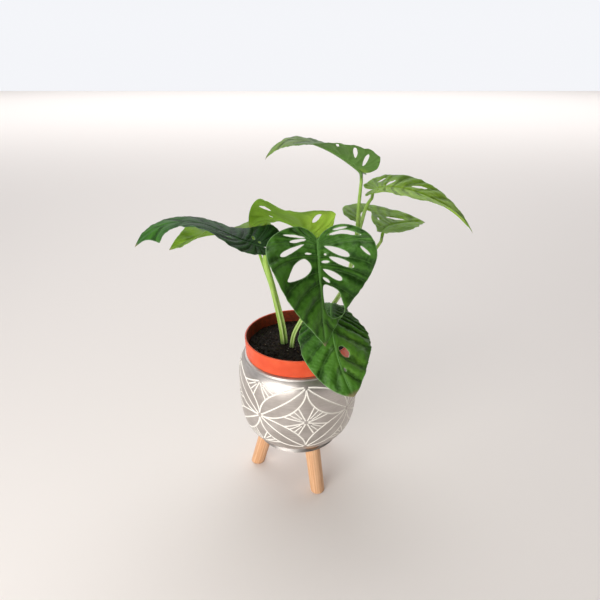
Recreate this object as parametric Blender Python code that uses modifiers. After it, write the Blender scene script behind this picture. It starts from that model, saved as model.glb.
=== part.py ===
"""Monstera adansonii in an orange nursery pot, which hangs by its collar in a silver bowl on wooden legs.

Lengths are in millimetres, measured from the floor and from the axis of the pots, and angles in degrees.
Each finished shape is turned into metres and moved so that the whole stands centred on the origin.
"""
import math

import bmesh
import bpy
import numpy as np
from mathutils import Matrix, Vector
from mathutils.geometry import delaunay_2d_cdt

OBJECT_NAME = "monstera_adansonii"
MM = 0.001
GAP = 0.3
WELD = 0.00002
CUT_OVERSHOOT = 3.0
POT_AXIS = (-6.1, 5.8)

# Silver bowl: a barrel whose section is a superellipse, flatter below its widest level than above
BOWL_RADIUS = 68.8
BOWL_WIDEST_LEVEL = 134.0
BOWL_DEPTH_BELOW = 76.0
BOWL_RISE_ABOVE = 42.1
BOWL_FULLNESS = 3.65
BOWL_WALL = 4.5
BOWL_FLOOR_LEVEL = 71.0
BOWL_LIP_LEVEL = 168.5
BOWL_MOUTH_RADIUS = 56.0
BOWL_LIP_ROUND = 0.8
BOWL_LIP_EDGE_RADIUS = 57.9
BOWL_STEPS = 44

# Wooden legs: round, splayed, with a flat sole and a blind socket in the bowl's base
LEG_NAMES = ("leg_front", "leg_back", "leg_left")
LEG_FRONT_ANGLE = -63.5
LEG_FOOT_CIRCLE = 52.2
LEG_TOP_CIRCLE = 34.0
LEG_TOP_LEVEL = 66.0
LEG_FOOT_RADIUS = 8.5
LEG_TOP_RADIUS = 9.25
LEG_EDGE_ROUND = 1.2
LEG_SIDES = 24
LEG_COUNT = 3

# Nursery pot: thin plastic with a thicker collar, which rests on the bowl's lip
RIM_RADIUS = 60.0
RIM_LEVEL = 189.0
RIM_THICKNESS = 2.0
RIM_ROUND = 0.6
COLLAR_LEVEL = BOWL_LIP_LEVEL + GAP
COLLAR_FOOT_RADIUS = 59.3
COLLAR_STEP = 3.0
WALL_TOP_RADIUS = 55.2
WALL_THICKNESS = 1.5
POT_BASE_RADIUS = 42.4
POT_BASE_LEVEL = 84.0
POT_FLOOR_THICKNESS = 2.0
POT_STEPS = 44
DRAIN_HOLES = 6
DRAIN_RADIUS = 4.0
DRAIN_CIRCLE = 28.0
DRAIN_SIDES = 12

# Soil: fills the nursery pot to a little below its rim, slightly heaped in the middle
SOIL_HEAP_LEVEL = 178.2
SOIL_EDGE_LEVEL = 175.4
SOIL_SLOPE = ((0.0, 1.0), (0.45, 0.8), (0.8, 0.3), (1.0, 0.0))
SOIL_STEPS = 36
STEM_FOOT_LEVEL = 152.0
STEM_UPRIGHT_LEVELS = (STEM_FOOT_LEVEL, 168.0, SOIL_HEAP_LEVEL + 3.0)
STEM_HOLE_CLEARANCE = 0.8
STEM_HOLE_SIDES = 16

# Leaves: thickness of the blade, size of the midrib and of the swollen joint at its base
BLADE_THICKNESS = 0.8
MIDRIB_BASE_RADIUS = 1.3
MIDRIB_TIP_RADIUS = 0.45
MIDRIB_START = 0.03
MIDRIB_REACH = 0.93
MIDRIB_SINK = 0.75
MIDRIB_PARTS = 9
MIDRIB_STEPS = 200
JOINT_RADIUS = 1.7
JOINT_LENGTH = 5.0
TUBE_RESOLUTION = 2
PATH_STEP = 8.0
CURL_SPAN = 50.0
LOBE_SPAN = 0.2
FAN_POWER = 1.3
HOLE_MARGIN = 0.8
MIDRIB_EXTRA_ROWS = 3
POINT_MARGIN = 0.2

# Half outline of a leaf, a chain of three cubic curves: across in half widths, along in leaf lengths
LOBE_CURVE = ((0.0, 0.0), (0.10, -0.13), (0.45, -0.20), (0.78, -0.06))
SHOULDER_CURVE = ((0.78, -0.06), (1.02, 0.05), (1.05, 0.22), (0.93, 0.40))
TAPER_CURVE = ((0.93, 0.40), (0.78, 0.62), (0.30, 0.80), (0.0, 1.0))


def remove_all_objects():
    for item in list(bpy.data.objects):
        bpy.data.objects.remove(item, do_unlink=True)


def new_collection(name):
    group = bpy.data.collections.new(name)
    bpy.context.scene.collection.children.link(group)
    return group


def new_material(name, colour, roughness, metallic=0.0):
    made = bpy.data.materials.new(name)
    made.use_nodes = True
    shader = made.node_tree.nodes["Principled BSDF"]
    shader.inputs["Base Color"].default_value = (*colour, 1.0)
    shader.inputs["Roughness"].default_value = roughness
    shader.inputs["Metallic"].default_value = metallic
    made.diffuse_color = (*colour, 1.0)
    return made


def new_object(name, data, group, material=None):
    item = bpy.data.objects.new(name, data)
    group.objects.link(item)
    if material:
        data.materials.append(material)
    return item


def placed(point):
    """A point of the design, in metres in the frame of the whole."""
    return Vector(((point[0] + POT_AXIS[0]) * MM, (point[1] + POT_AXIS[1]) * MM, point[2] * MM))


def add_screw(item, steps):
    screw = item.modifiers.new("turn", "SCREW")
    screw.angle = math.tau
    screw.steps = steps
    screw.render_steps = steps
    screw.use_merge_vertices = True
    screw.merge_threshold = WELD
    screw.use_smooth_shade = True


def turned(name, profile, steps, group, material):
    """A shape turned on the pots' axis from a profile of radius and level."""
    mesh = bpy.data.meshes.new(name)
    points = [(radius * MM, 0.0, level * MM) for radius, level in profile]
    edges = [(index, index + 1) for index in range(len(points) - 1)]
    mesh.from_pydata(points, edges, [])
    item = new_object(name, mesh, group, material)
    item.location = placed((0.0, 0.0, 0.0))
    add_screw(item, steps)
    return item


def cut(item, cutter):
    boolean = item.modifiers.new("cut_" + cutter.name, "BOOLEAN")
    boolean.operation = "DIFFERENCE"
    boolean.object = cutter
    cutter.hide_render = True
    cutter.display_type = "WIRE"


def cone_between(name, low, low_radius, high, high_radius, sides, group, material=None):
    """A cone with level end faces, sheared so that it leans from one centre to the other."""
    mesh = bpy.data.meshes.new(name)
    shape = bmesh.new()
    height = high[2] - low[2]
    bmesh.ops.create_cone(shape, cap_ends=True, segments=sides, radius1=low_radius * MM,
                          radius2=high_radius * MM, depth=height * MM)
    lean = Matrix.Identity(4)
    lean[0][2] = (high[0] - low[0]) / height
    lean[1][2] = (high[1] - low[1]) / height
    bmesh.ops.transform(shape, matrix=lean, verts=shape.verts)
    middle = [(a + b) / 2 for a, b in zip(low, high)]
    bmesh.ops.translate(shape, vec=placed(middle), verts=shape.verts)
    shape.to_mesh(mesh)
    shape.free()
    return new_object(name, mesh, group, material)


def superellipse(radius, below, above, angle):
    """Radius and level on the barrel's section, at an angle from its widest level."""
    power = 2.0 / BOWL_FULLNESS
    rise = above if angle > 0 else below
    across = radius * math.cos(angle) ** power
    up = math.copysign(abs(math.sin(angle)) ** power, angle) * rise
    return across, BOWL_WIDEST_LEVEL + up


def angle_of_radius(radius, part):
    """The angle above the widest level at which the section has narrowed to a radius."""
    return math.acos((part / radius) ** (BOWL_FULLNESS / 2.0))


def bowl_profile():
    inner_radius = BOWL_RADIUS - BOWL_WALL
    inner_depth = BOWL_WIDEST_LEVEL - BOWL_FLOOR_LEVEL
    inner_rise = BOWL_RISE_ABOVE - BOWL_WALL / 2
    neck = angle_of_radius(inner_radius, BOWL_MOUTH_RADIUS)
    profile = []
    for angle in np.linspace(-math.pi / 2, neck, 10):
        profile.append(superellipse(inner_radius, inner_depth, inner_rise, angle))
    profile[0] = (0.0, BOWL_FLOOR_LEVEL)
    profile.append((BOWL_MOUTH_RADIUS, BOWL_LIP_LEVEL - BOWL_LIP_ROUND))
    profile.append((BOWL_MOUTH_RADIUS + BOWL_LIP_ROUND, BOWL_LIP_LEVEL))
    profile.append((BOWL_LIP_EDGE_RADIUS, BOWL_LIP_LEVEL))
    shoulder = angle_of_radius(BOWL_RADIUS, COLLAR_FOOT_RADIUS)
    for angle in np.linspace(shoulder, -math.pi / 2, 14):
        profile.append(superellipse(BOWL_RADIUS, BOWL_DEPTH_BELOW, BOWL_RISE_ABOVE, angle))
    profile[-1] = (0.0, BOWL_WIDEST_LEVEL - BOWL_DEPTH_BELOW)
    return profile


def leg_axis_point(angle, level):
    share = level / LEG_TOP_LEVEL
    circle = LEG_FOOT_CIRCLE + (LEG_TOP_CIRCLE - LEG_FOOT_CIRCLE) * share
    return (circle * math.cos(angle), circle * math.sin(angle), level)


def build_cover_pot(group, cutters, silver):
    bowl = turned("cover_pot", bowl_profile(), BOWL_STEPS, group, silver)
    below = BOWL_WIDEST_LEVEL - BOWL_DEPTH_BELOW - CUT_OVERSHOOT
    for index, name in enumerate(LEG_NAMES):
        angle = math.radians(LEG_FRONT_ANGLE + 360.0 * index / LEG_COUNT)
        low = leg_axis_point(angle, below)
        high = leg_axis_point(angle, LEG_TOP_LEVEL + GAP)
        radius = LEG_TOP_RADIUS + GAP
        cut(bowl, cone_between("socket_of_" + name, low, radius, high, radius, LEG_SIDES, cutters))


def build_legs(group, wood):
    for index, name in enumerate(LEG_NAMES):
        angle = math.radians(LEG_FRONT_ANGLE + 360.0 * index / LEG_COUNT)
        foot = leg_axis_point(angle, 0.0)
        top = leg_axis_point(angle, LEG_TOP_LEVEL)
        leg = cone_between(name, foot, LEG_FOOT_RADIUS, top, LEG_TOP_RADIUS, LEG_SIDES, group, wood)
        rounding = leg.modifiers.new("rounded_edges", "BEVEL")
        rounding.width = LEG_EDGE_ROUND * MM
        rounding.segments = 2
        rounding.limit_method = "ANGLE"
        rounding.angle_limit = math.radians(50.0)


def pot_wall_radius(level):
    """Outer radius of the nursery pot's tapered wall at a level."""
    share = (level - POT_BASE_LEVEL) / (COLLAR_LEVEL - POT_BASE_LEVEL)
    return POT_BASE_RADIUS + (WALL_TOP_RADIUS - POT_BASE_RADIUS) * share


def pot_inside():
    """Radius and level of the nursery pot's inner surface, from its floor to its rim."""
    floor = POT_BASE_LEVEL + POT_FLOOR_THICKNESS
    return [
        (0.0, floor),
        (pot_wall_radius(floor) - WALL_THICKNESS, floor),
        (WALL_TOP_RADIUS - WALL_THICKNESS, COLLAR_LEVEL),
        (COLLAR_FOOT_RADIUS - RIM_THICKNESS, COLLAR_LEVEL + COLLAR_STEP),
        (RIM_RADIUS - RIM_THICKNESS, RIM_LEVEL - RIM_ROUND),
    ]


def build_nursery_pot(group, cutters, orange):
    profile = pot_inside()
    profile.append((RIM_RADIUS - RIM_THICKNESS + RIM_ROUND, RIM_LEVEL))
    profile.append((RIM_RADIUS - RIM_ROUND, RIM_LEVEL))
    profile.append((RIM_RADIUS, RIM_LEVEL - RIM_ROUND))
    profile.append((COLLAR_FOOT_RADIUS, COLLAR_LEVEL))
    profile.append((WALL_TOP_RADIUS, COLLAR_LEVEL))
    profile.append((POT_BASE_RADIUS, POT_BASE_LEVEL))
    profile.append((0.0, POT_BASE_LEVEL))
    pot = turned("nursery_pot", profile, POT_STEPS, group, orange)
    for index in range(DRAIN_HOLES):
        angle = math.tau * (index + 0.5) / DRAIN_HOLES
        centre = (DRAIN_CIRCLE * math.cos(angle), DRAIN_CIRCLE * math.sin(angle))
        low = (*centre, POT_BASE_LEVEL - CUT_OVERSHOOT)
        high = (*centre, POT_BASE_LEVEL + POT_FLOOR_THICKNESS + CUT_OVERSHOOT)
        name = "drain_hole_%d" % (index + 1)
        cut(pot, cone_between(name, low, DRAIN_RADIUS, high, DRAIN_RADIUS, DRAIN_SIDES, cutters))


def build_soil(group, cutters, earth, stems):
    inside = pot_inside()
    edge_radius = inside[3][0] - GAP
    heap = SOIL_HEAP_LEVEL - SOIL_EDGE_LEVEL
    profile = [(edge_radius * out, SOIL_EDGE_LEVEL + heap * up) for out, up in SOIL_SLOPE]
    profile.append((edge_radius, inside[3][1]))
    profile.append((inside[2][0] - GAP, inside[2][1]))
    profile.append((inside[1][0] - GAP, inside[1][1] + GAP))
    profile.append((0.0, inside[1][1] + GAP))
    soil = turned("soil", profile, SOIL_STEPS, group, earth)
    for stem in stems:
        radius = stem.foot_radius + STEM_HOLE_CLEARANCE
        low = (*stem.foot, STEM_FOOT_LEVEL - GAP)
        high = (*stem.foot, SOIL_HEAP_LEVEL + CUT_OVERSHOOT)
        name = "hole_of_" + stem.name
        cut(soil, cone_between(name, low, radius, high, radius, STEM_HOLE_SIDES, cutters))


def smooth_value(stations, share):
    """Value at a share of the length, smoothly through equally spaced stations (Catmull-Rom)."""
    last = len(stations) - 1
    place = min(max(share, 0.0), 1.0) * last
    index = min(int(place), last - 1)
    part = place - index
    before = stations[max(index - 1, 0)]
    start = stations[index]
    end = stations[index + 1]
    after = stations[min(index + 2, last)]
    linear = (end - before) * part
    square = (2 * before - 5 * start + 4 * end - after) * part ** 2
    cube = (3 * start - before - 3 * end + after) * part ** 3
    return (2 * start + linear + square + cube) / 2


def smooth_path(points, step=PATH_STEP):
    """Points about a step apart on a smooth curve through the given points."""
    corners = [np.array(point, float) for point in points]
    path = []
    for index in range(len(corners) - 1):
        run = np.linalg.norm(corners[index + 1] - corners[index])
        count = max(1, round(run / step))
        for part in range(count):
            share = (index + part / count) / (len(corners) - 1)
            path.append(smooth_value(corners, share))
    path.append(corners[-1])
    return path


def cubic(points, share):
    back = 1.0 - share
    weights = (back ** 3, 3 * back ** 2 * share, 3 * back * share ** 2, share ** 3)
    return [sum(w * p[axis] for w, p in zip(weights, points)) for axis in (0, 1)]


class Leaf:
    """A heart-shaped blade bent along its midrib.

    heading, pitch and roll are the direction of the midrib and the tilt of the blade about it, at four
    stations from the base to the tip. fold is how far each half is raised from flat beside the midrib, at
    the base and at the tip. curl is how much more each half turns up over 50 mm, lift how far the rear
    lobes are raised, fullness how broad the tapering part is, lobes the size of each rear lobe, and taper
    where the edge turns in to the tip. swells are the places of the left and right edge where the half is
    broader or narrower than usual: share of the length, span, and change as a share of its width. A half
    is left or right as seen from above with the tip pointing away.
    """

    def __init__(self, name, base, length, widths, heading, pitch, roll, left_fold, right_fold,
                 curl=0.0, lift=0.0, fullness=1.0, lobes=(1.0, 1.0), hook=60.0, holes=(),
                 taper=TAPER_CURVE[2], swells=((), ()), outline_parts=5, rows=9, columns=2):
        self.name = name
        self.base = np.array(base, float)
        self.length = float(length)
        self.widths = widths
        self.heading = heading
        self.pitch = pitch
        self.roll = roll
        self.folds = (left_fold, right_fold)
        self.curl = curl
        self.lift = lift
        self.fullness = fullness
        self.lobes = lobes
        self.hook = hook
        self.holes = holes
        self.taper = taper
        self.swells = swells
        self.outline_parts = outline_parts
        self.rows = rows
        self.columns = columns
        self.walk_midrib()

    def direction(self, share):
        heading = math.radians(smooth_value(self.heading, share))
        pitch = math.radians(smooth_value(self.pitch, share))
        level = math.cos(pitch)
        return np.array((level * math.cos(heading), level * math.sin(heading), math.sin(pitch)))

    def walk_midrib(self):
        """Adds up short steps along the midrib, so that any point of it can be looked up."""
        points = [self.base]
        for index in range(MIDRIB_STEPS):
            ahead = self.direction((index + 0.5) / MIDRIB_STEPS) * (self.length / MIDRIB_STEPS)
            points.append(points[-1] + ahead)
        self.midrib_points = np.array(points)

    def midrib_point(self, share):
        place = min(max(share, 0.0), 1.0) * (len(self.midrib_points) - 1)
        index = min(int(place), len(self.midrib_points) - 2)
        part = place - index
        return self.midrib_points[index] * (1 - part) + self.midrib_points[index + 1] * part

    def frame(self, share):
        """Point on the midrib line, with the directions ahead, to the left and up from the blade."""
        ahead = self.direction(share)
        heading = math.radians(smooth_value(self.heading, share))
        roll = math.radians(smooth_value(self.roll, share))
        level_side = np.array((-math.sin(heading), math.cos(heading), 0.0))
        level_up = np.cross(ahead, level_side)
        side = math.cos(roll) * level_side + math.sin(roll) * level_up
        up = math.cos(roll) * level_up - math.sin(roll) * level_side
        point = self.midrib_point(share)
        behind = max(-share, 0.0) * self.length
        if behind > 0:
            bend = math.radians(self.lift) / (LOBE_SPAN * self.length)
            turn = bend * behind
            point = point - ahead * (math.sin(turn) / bend) + up * ((1 - math.cos(turn)) / bend)
            up = math.cos(turn) * up + math.sin(turn) * ahead
        return point, ahead, side, up

    def bent(self, across, along):
        """The place of a point of the flat blade, across to the left and along from the base."""
        share = along / self.length
        point, ahead, side, up = self.frame(share)
        half = 0 if across >= 0 else 1
        start, end = self.folds[half]
        fold = math.radians(start + (end - start) * min(max(share, 0.0), 1.0))
        reach = abs(across)
        bend = math.radians(self.curl) / CURL_SPAN
        if abs(bend) < 1e-7:
            out = reach * math.cos(fold)
            rise = reach * math.sin(fold)
        else:
            out = (math.sin(fold + bend * reach) - math.sin(fold)) / bend
            rise = (math.cos(fold) - math.cos(fold + bend * reach)) / bend
        return point + side * math.copysign(out, across) + up * rise

    def half_outline(self, half):
        """The edge of one half, from the base round the rear lobe to the tip."""
        sign = 1 if half == 0 else -1
        width = self.widths[half]
        lobe = self.lobes[half]
        shoulder_end = 1 + 0.3 * (self.fullness - 1)
        chain = []
        for curve in (LOBE_CURVE, SHOULDER_CURVE, TAPER_CURVE):
            chain.append([list(point) for point in curve])
        for point in chain[0][1:]:
            point[1] *= lobe
        chain[1][0][1] *= lobe
        chain[1][3][0] *= shoulder_end
        chain[2][0][0] *= shoulder_end
        chain[2][1][0] *= self.fullness
        chain[2][2] = [self.taper[0] * self.fullness, self.taper[1]]
        points = []
        for curve in chain:
            for part in range(self.outline_parts):
                across, along = cubic(curve, part / self.outline_parts)
                change = sum(amount * math.exp(-((along - share) / span) ** 2)
                             for share, span, amount in self.swells[half])
                points.append((sign * across * width * (1 + change), along * self.length))
        points.append((0.0, self.length))
        return points

    def joint_direction(self):
        """From the base to where the petiole comes from, hooked down from straight back."""
        point, ahead, side, up = self.frame(0.0)
        hook = math.radians(self.hook)
        return -ahead * math.cos(hook) - up * math.sin(hook)

    def joint_end(self, beyond=0.0):
        return self.base + self.joint_direction() * (JOINT_LENGTH + beyond)


class Stem:
    """A leafy stem: its main shoot from the soil to a leaf, and the petioles that leave it."""

    def __init__(self, name, foot, foot_radius, shoot, shoot_radius, leaf, petioles):
        self.name = name
        self.foot = foot
        self.foot_radius = foot_radius
        self.shoot = shoot
        self.shoot_radius = shoot_radius
        self.leaf = leaf
        self.petioles = petioles


def slot(inner, outer, width, bulge=0.5, sides=10):
    """A hole from its inner to its outer end, widest at the bulge's share of its length."""
    start = Vector(inner)
    reach = Vector(outer) - start
    normal = reach.orthogonal().normalized()
    lean = math.log(0.5) / math.log(bulge)
    points = []
    for index in range(sides):
        angle = math.tau * index / sides
        share = ((1 - math.cos(angle)) / 2) ** (1 / lean)
        points.append(tuple(start + reach * share + normal * (math.sin(angle) * width / 2)))
    return points


def rounded(corners, parts=2):
    """A hole whose edge runs smoothly through its corners."""
    count = len(corners)
    points = []
    for index in range(count):
        around = [np.array(corners[(index + shift) % count], float) for shift in (-1, 0, 1, 2)]
        for part in range(parts):
            points.append(tuple(smooth_value(around, (1 + part / parts) / 3)))
    return points


def inside_loop(point, loop):
    across, along = point
    within = False
    for index, (x_end, y_end) in enumerate(loop):
        x_start, y_start = loop[index - 1]
        if (y_start > along) != (y_end > along):
            crossing = x_start + (along - y_start) * (x_end - x_start) / (y_end - y_start)
            if across < crossing:
                within = not within
    return within


def distance_to_loop(point, loop):
    spot = Vector(point)
    best = 1e9
    for index, end in enumerate(loop):
        start = Vector(loop[index - 1])
        run = Vector(end) - start
        share = min(max((spot - start).dot(run) / max(run.length_squared, 1e-9), 0.0), 1.0)
        best = min(best, (spot - start - run * share).length)
    return best


def flat_sheet(leaf):
    """The flat blade with its holes, split into triangles: its points and its faces."""
    left = leaf.half_outline(0)
    right = leaf.half_outline(1)
    outline = left + right[-2:0:-1]
    loops = [outline] + [list(hole) for hole in leaf.holes]
    midrib_parts = leaf.rows + MIDRIB_EXTRA_ROWS
    midrib = []
    for index in range(1, midrib_parts):
        spot = (0.0, leaf.length * index / midrib_parts)
        clear = all(distance_to_loop(spot, hole) > HOLE_MARGIN for hole in leaf.holes)
        if clear and not any(inside_loop(spot, hole) for hole in leaf.holes):
            midrib.append(spot)
    points = []
    edges = []
    for loop in loops:
        first = len(points)
        points.extend(loop)
        edges.extend((first + index, first + (index + 1) % len(loop)) for index in range(len(loop)))
    chain = [0]
    for spot in midrib:
        chain.append(len(points))
        points.append(spot)
    chain.append(len(left) - 1)
    edges.extend(zip(chain[:-1], chain[1:]))
    margin = POINT_MARGIN * leaf.length / leaf.rows
    for edge in (left, right):
        for row in range(1, leaf.rows):
            place = row / leaf.rows * (len(edge) - 1)
            index = int(place)
            ahead = edge[min(index + 1, len(edge) - 1)]
            part = place - index
            rim = [edge[index][axis] * (1 - part) + ahead[axis] * part for axis in (0, 1)]
            root = leaf.length * (row / leaf.rows) ** FAN_POWER
            for column in range(1, leaf.columns + 1):
                share = column / (leaf.columns + 1)
                spot = (rim[0] * share, root + (rim[1] - root) * share)
                near = min(distance_to_loop(spot, loop) for loop in loops)
                holed = any(inside_loop(spot, hole) for hole in loops[1:])
                if near > margin and abs(spot[0]) > margin and not holed:
                    points.append(spot)
    flat = [Vector(point) for point in points]
    corners, _, faces, _, _, _ = delaunay_2d_cdt(flat, edges, [], 0, 1e-5)
    kept = []
    for face in faces:
        middle = sum((corners[index] for index in face), Vector((0.0, 0.0))) / len(face)
        holed = any(inside_loop(middle, loop) for loop in loops[1:])
        if inside_loop(middle, outline) and not holed:
            kept.append(face)
    return corners, kept


def tube(name, points, radii, group, material=None):
    """A tapered round tube along a path, as a mesh with welded end faces."""
    curve = bpy.data.curves.new(name, "CURVE")
    curve.dimensions = "3D"
    curve.bevel_depth = MM
    curve.bevel_resolution = TUBE_RESOLUTION
    curve.use_fill_caps = True
    line = curve.splines.new("POLY")
    line.points.add(len(points) - 1)
    for spot, point, radius in zip(line.points, points, radii):
        spot.co = (*placed(point), 1.0)
        spot.radius = radius
    guide = new_object(name + "_path", curve, group)
    mesh = mesh_of(guide)
    bpy.data.objects.remove(guide)
    return new_object(name, mesh, group, material)


def mesh_of(item):
    """The evaluated shape of an object as a mesh of its own, welded."""
    bpy.context.view_layer.update()
    graph = bpy.context.evaluated_depsgraph_get()
    mesh = bpy.data.meshes.new_from_object(item.evaluated_get(graph))
    shape = bmesh.new()
    shape.from_mesh(mesh)
    bmesh.ops.remove_doubles(shape, verts=shape.verts, dist=WELD / 2)
    shape.to_mesh(mesh)
    shape.free()
    return mesh


def fuse(item, others):
    """Joins meshes that sink into one another into one body."""
    joined = new_collection("fusing")
    for other in others:
        for group in list(other.users_collection):
            group.objects.unlink(other)
        joined.objects.link(other)
    union = item.modifiers.new("fuse", "BOOLEAN")
    union.operation = "UNION"
    union.operand_type = "COLLECTION"
    union.collection = joined
    mesh = mesh_of(item)
    item.modifiers.clear()
    old = item.data
    item.data = mesh
    bpy.data.meshes.remove(old)
    for other in others:
        bpy.data.objects.remove(other)
    bpy.data.collections.remove(joined)


def midrib_path(leaf):
    """The line of the midrib under the blade, with the swollen joint that meets the petiole."""
    away = leaf.joint_direction()
    points = [leaf.joint_end(), leaf.base + away * (JOINT_LENGTH * 0.5)]
    radii = [JOINT_RADIUS, JOINT_RADIUS]
    for index in range(MIDRIB_PARTS + 1):
        part = index / MIDRIB_PARTS
        radius = MIDRIB_BASE_RADIUS + (MIDRIB_TIP_RADIUS - MIDRIB_BASE_RADIUS) * part
        point, ahead, side, up = leaf.frame(MIDRIB_START + (MIDRIB_REACH - MIDRIB_START) * part)
        points.append(point - up * (radius * MIDRIB_SINK))
        radii.append(radius)
    return points, radii


def build_leaf(leaf, group, material):
    corners, faces = flat_sheet(leaf)
    mesh = bpy.data.meshes.new(leaf.name)
    mesh.from_pydata([placed(leaf.bent(point.x, point.y)) for point in corners], [], faces)
    item = new_object(leaf.name, mesh, group, material)
    shape = bmesh.new()
    shape.from_mesh(mesh)
    bmesh.ops.delete(shape, geom=[v for v in shape.verts if not v.link_faces], context="VERTS")
    shape.to_mesh(mesh)
    shape.free()
    thick = item.modifiers.new("thickness", "SOLIDIFY")
    thick.thickness = BLADE_THICKNESS * MM
    thick.offset = 0.0
    path, radii = midrib_path(leaf)
    rib = tube(leaf.name + "_midrib", path, radii, group)
    fuse(item, [rib])
    return item


def petiole_tube(name, path, foot_radius, top_radius, leaf, group, material=None):
    """A petiole along a path that ends square against the joint of its leaf."""
    ends = [leaf.joint_end(beyond=GAP + JOINT_LENGTH), leaf.joint_end(beyond=GAP)]
    points = smooth_path(list(path) + [ends[0]]) + [ends[1]]
    count = len(points) - 1
    radii = []
    for index in range(count + 1):
        radii.append(foot_radius + (top_radius - foot_radius) * index / count)
    return tube(name, points, radii, group, material)


def build_stem(stem, group, material):
    foot = [(*stem.foot, level) for level in STEM_UPRIGHT_LEVELS]
    shoot = petiole_tube(stem.name, foot + list(stem.shoot), stem.foot_radius, stem.shoot_radius,
                         stem.leaf, group, material)
    others = []
    for index, (leaf, path, root_radius, top_radius) in enumerate(stem.petioles):
        name = "%s_petiole_%d" % (stem.name, index + 1)
        others.append(petiole_tube(name, path, root_radius, top_radius, leaf, group))
    fuse(shoot, others)
    return shoot


LEAF_FRONT = Leaf(
    "leaf_front", base=(19, -38, 312), length=104, widths=(57, 52),
    heading=(-88, -79, -73, -69), pitch=(-50, -63, -73, -76), roll=(9, -9, -11, -4),
    left_fold=(2, -14), right_fold=(11, 11), curl=9, lift=19, fullness=0.92,
    hook=60, outline_parts=6, rows=10, columns=3,
    holes=(
        slot((-12, -3), (-33, -5.5), 2.6),
        slot((-11, -1), (-27, 2), 3.4),
        slot((-13, 4), (-38, 17), 4.8, bulge=0.62),
        slot((-6.5, 13.5), (-13, 13.5), 2),
        rounded(((-14, 18.5), (-8, 27), (-17, 35.5), (-36, 39), (-33, 33), (-25, 24)), parts=3),
        slot((15, -9.5), (29, -11), 2.4),
        rounded(((9, -4.5), (26, -8.5), (42, -1.5), (34, -2), (25, -4.5))),
        slot((6, 6), (30, 17), 6.5, bulge=0.62),
        slot((10.5, 17), (35, 28), 6, bulge=0.55),
        slot((2.8, 21.5), (10.5, 21.5), 2.8),
        slot((4, 28.5), (24, 40.5), 6.2, bulge=0.6),
        slot((3.4, 36.5), (10.5, 42), 2.8),
        rounded(((3, 45), (12, 46), (20, 51.5), (23, 60), (26.5, 71), (23, 77), (11.5, 78), (4, 67))),
        slot((40.5, 9), (50, 17.5), 2.6),
        slot((5.5, 14), (8, 14.5), 2.2),
    ))

LEAF_LOWER = Leaf(
    "leaf_lower", base=(35, -27, 239), length=106, widths=(47, 39),
    heading=(-95, -85, -68, -45), pitch=(-6, -33, -44, -51), roll=(1, -2, 4, 13),
    left_fold=(-33, 10), right_fold=(-33, -12), curl=-16, lift=-12, fullness=1.12, lobes=(0.92, 0.92),
    hook=45, taper=(0.40, 0.93),
    holes=(
        rounded(((3, 56), (8, 54.5), (13, 61), (12, 67), (6, 65))),
        slot((2.5, 77), (3.5, 81), 2),
    ))

LEAF_LEFT = Leaf(
    "leaf_left", base=(-34, -28, 302), length=146, widths=(37, 43),
    heading=(169, 162, 176, 208), pitch=(10, 19, -11, -45), roll=(-17, 9, -6, -33),
    left_fold=(25, -12), right_fold=(3, -12), curl=-6, lift=31, fullness=1.01, lobes=(0.7, 0.6),
    hook=72, outline_parts=9, rows=10,
    swells=(((0.60, 0.08, -0.35), (0.80, 0.07, 0.8), (0.94, 0.05, -0.4)), ()),
    holes=(
        slot((-8, 12), (-15, 17), 2.8),
        slot((-4, 4), (-7.5, 7.5), 2.2),
        slot((8, 30), (16, 38), 3),
    ))

LEAF_FAR_LEFT = Leaf(
    "leaf_far_left", base=(-48, 53, 282), length=106, widths=(36, 46),
    heading=(170, 178, 184, 185), pitch=(17, 2, -17, -29), roll=(-4, 25, 7, -19),
    left_fold=(2, 4), right_fold=(16, 30), curl=4, lift=24, fullness=1.09, lobes=(0.98, 0.98),
    hook=68, swells=((), ((0.40, 0.20, -0.5), (0.72, 0.10, 0.15))),
    holes=(
        slot((14, 44), (24, 53), 4.5),
        slot((-8, 24), (-26, 34), 4),
    ))

LEAF_BACK = Leaf(
    "leaf_back", base=(21, 1, 301), length=88, widths=(45, 39),
    heading=(175, 159, 150, 160), pitch=(30, 19, -9, -45), roll=(30, 3, 21, 23),
    left_fold=(35, 30), right_fold=(15, -7), curl=0, lift=37, fullness=1.11, lobes=(0.88, 0.88),
    hook=42,
    holes=(
        slot((16, 49), (20, 60), 4.4),
        slot((3, 52), (5.5, 56), 2),
        slot((21, 12.5), (39, 11), 4.2, bulge=0.55),
        slot((-9, 20), (-26, 28), 4.4, bulge=0.6),
    ))

LEAF_TOP = Leaf(
    "leaf_top", base=(64, 15, 367), length=112, widths=(37, 33),
    heading=(182, 175, 183, 184), pitch=(38, 26, 1, -62), roll=(25, 15, 4, 0),
    left_fold=(17, -25), right_fold=(16, -4), curl=11, lift=60, fullness=1.02, lobes=(0.69, 0.69),
    hook=55,
    holes=(
        slot((14.5, 15.5), (33, 22.5), 3.8),
        slot((9, 4), (29, 9.5), 3.8),
        slot((26, 34), (33, 36.5), 2.6),
        slot((-9, 12), (-24, 20), 4),
    ))

LEAF_RIGHT = Leaf(
    "leaf_right", base=(78, 20, 348), length=118, widths=(27, 30),
    heading=(-26, -19, -9, -6), pitch=(16, -12, -30, -52), roll=(11, 5, 2, 2),
    left_fold=(5, 22), right_fold=(2, 14), curl=6, lift=17, fullness=1.08, lobes=(0.86, 0.3),
    hook=66, swells=(((-0.02, 0.09, 0.2),), ((0.12, 0.14, -0.5), (0.42, 0.16, 0.2))),
    holes=(
        slot((14, 1), (21, 8), 3.4),
        slot((6, 12), (15, 20), 3.4),
        slot((8, 38), (15, 54), 3.8),
    ))

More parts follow.
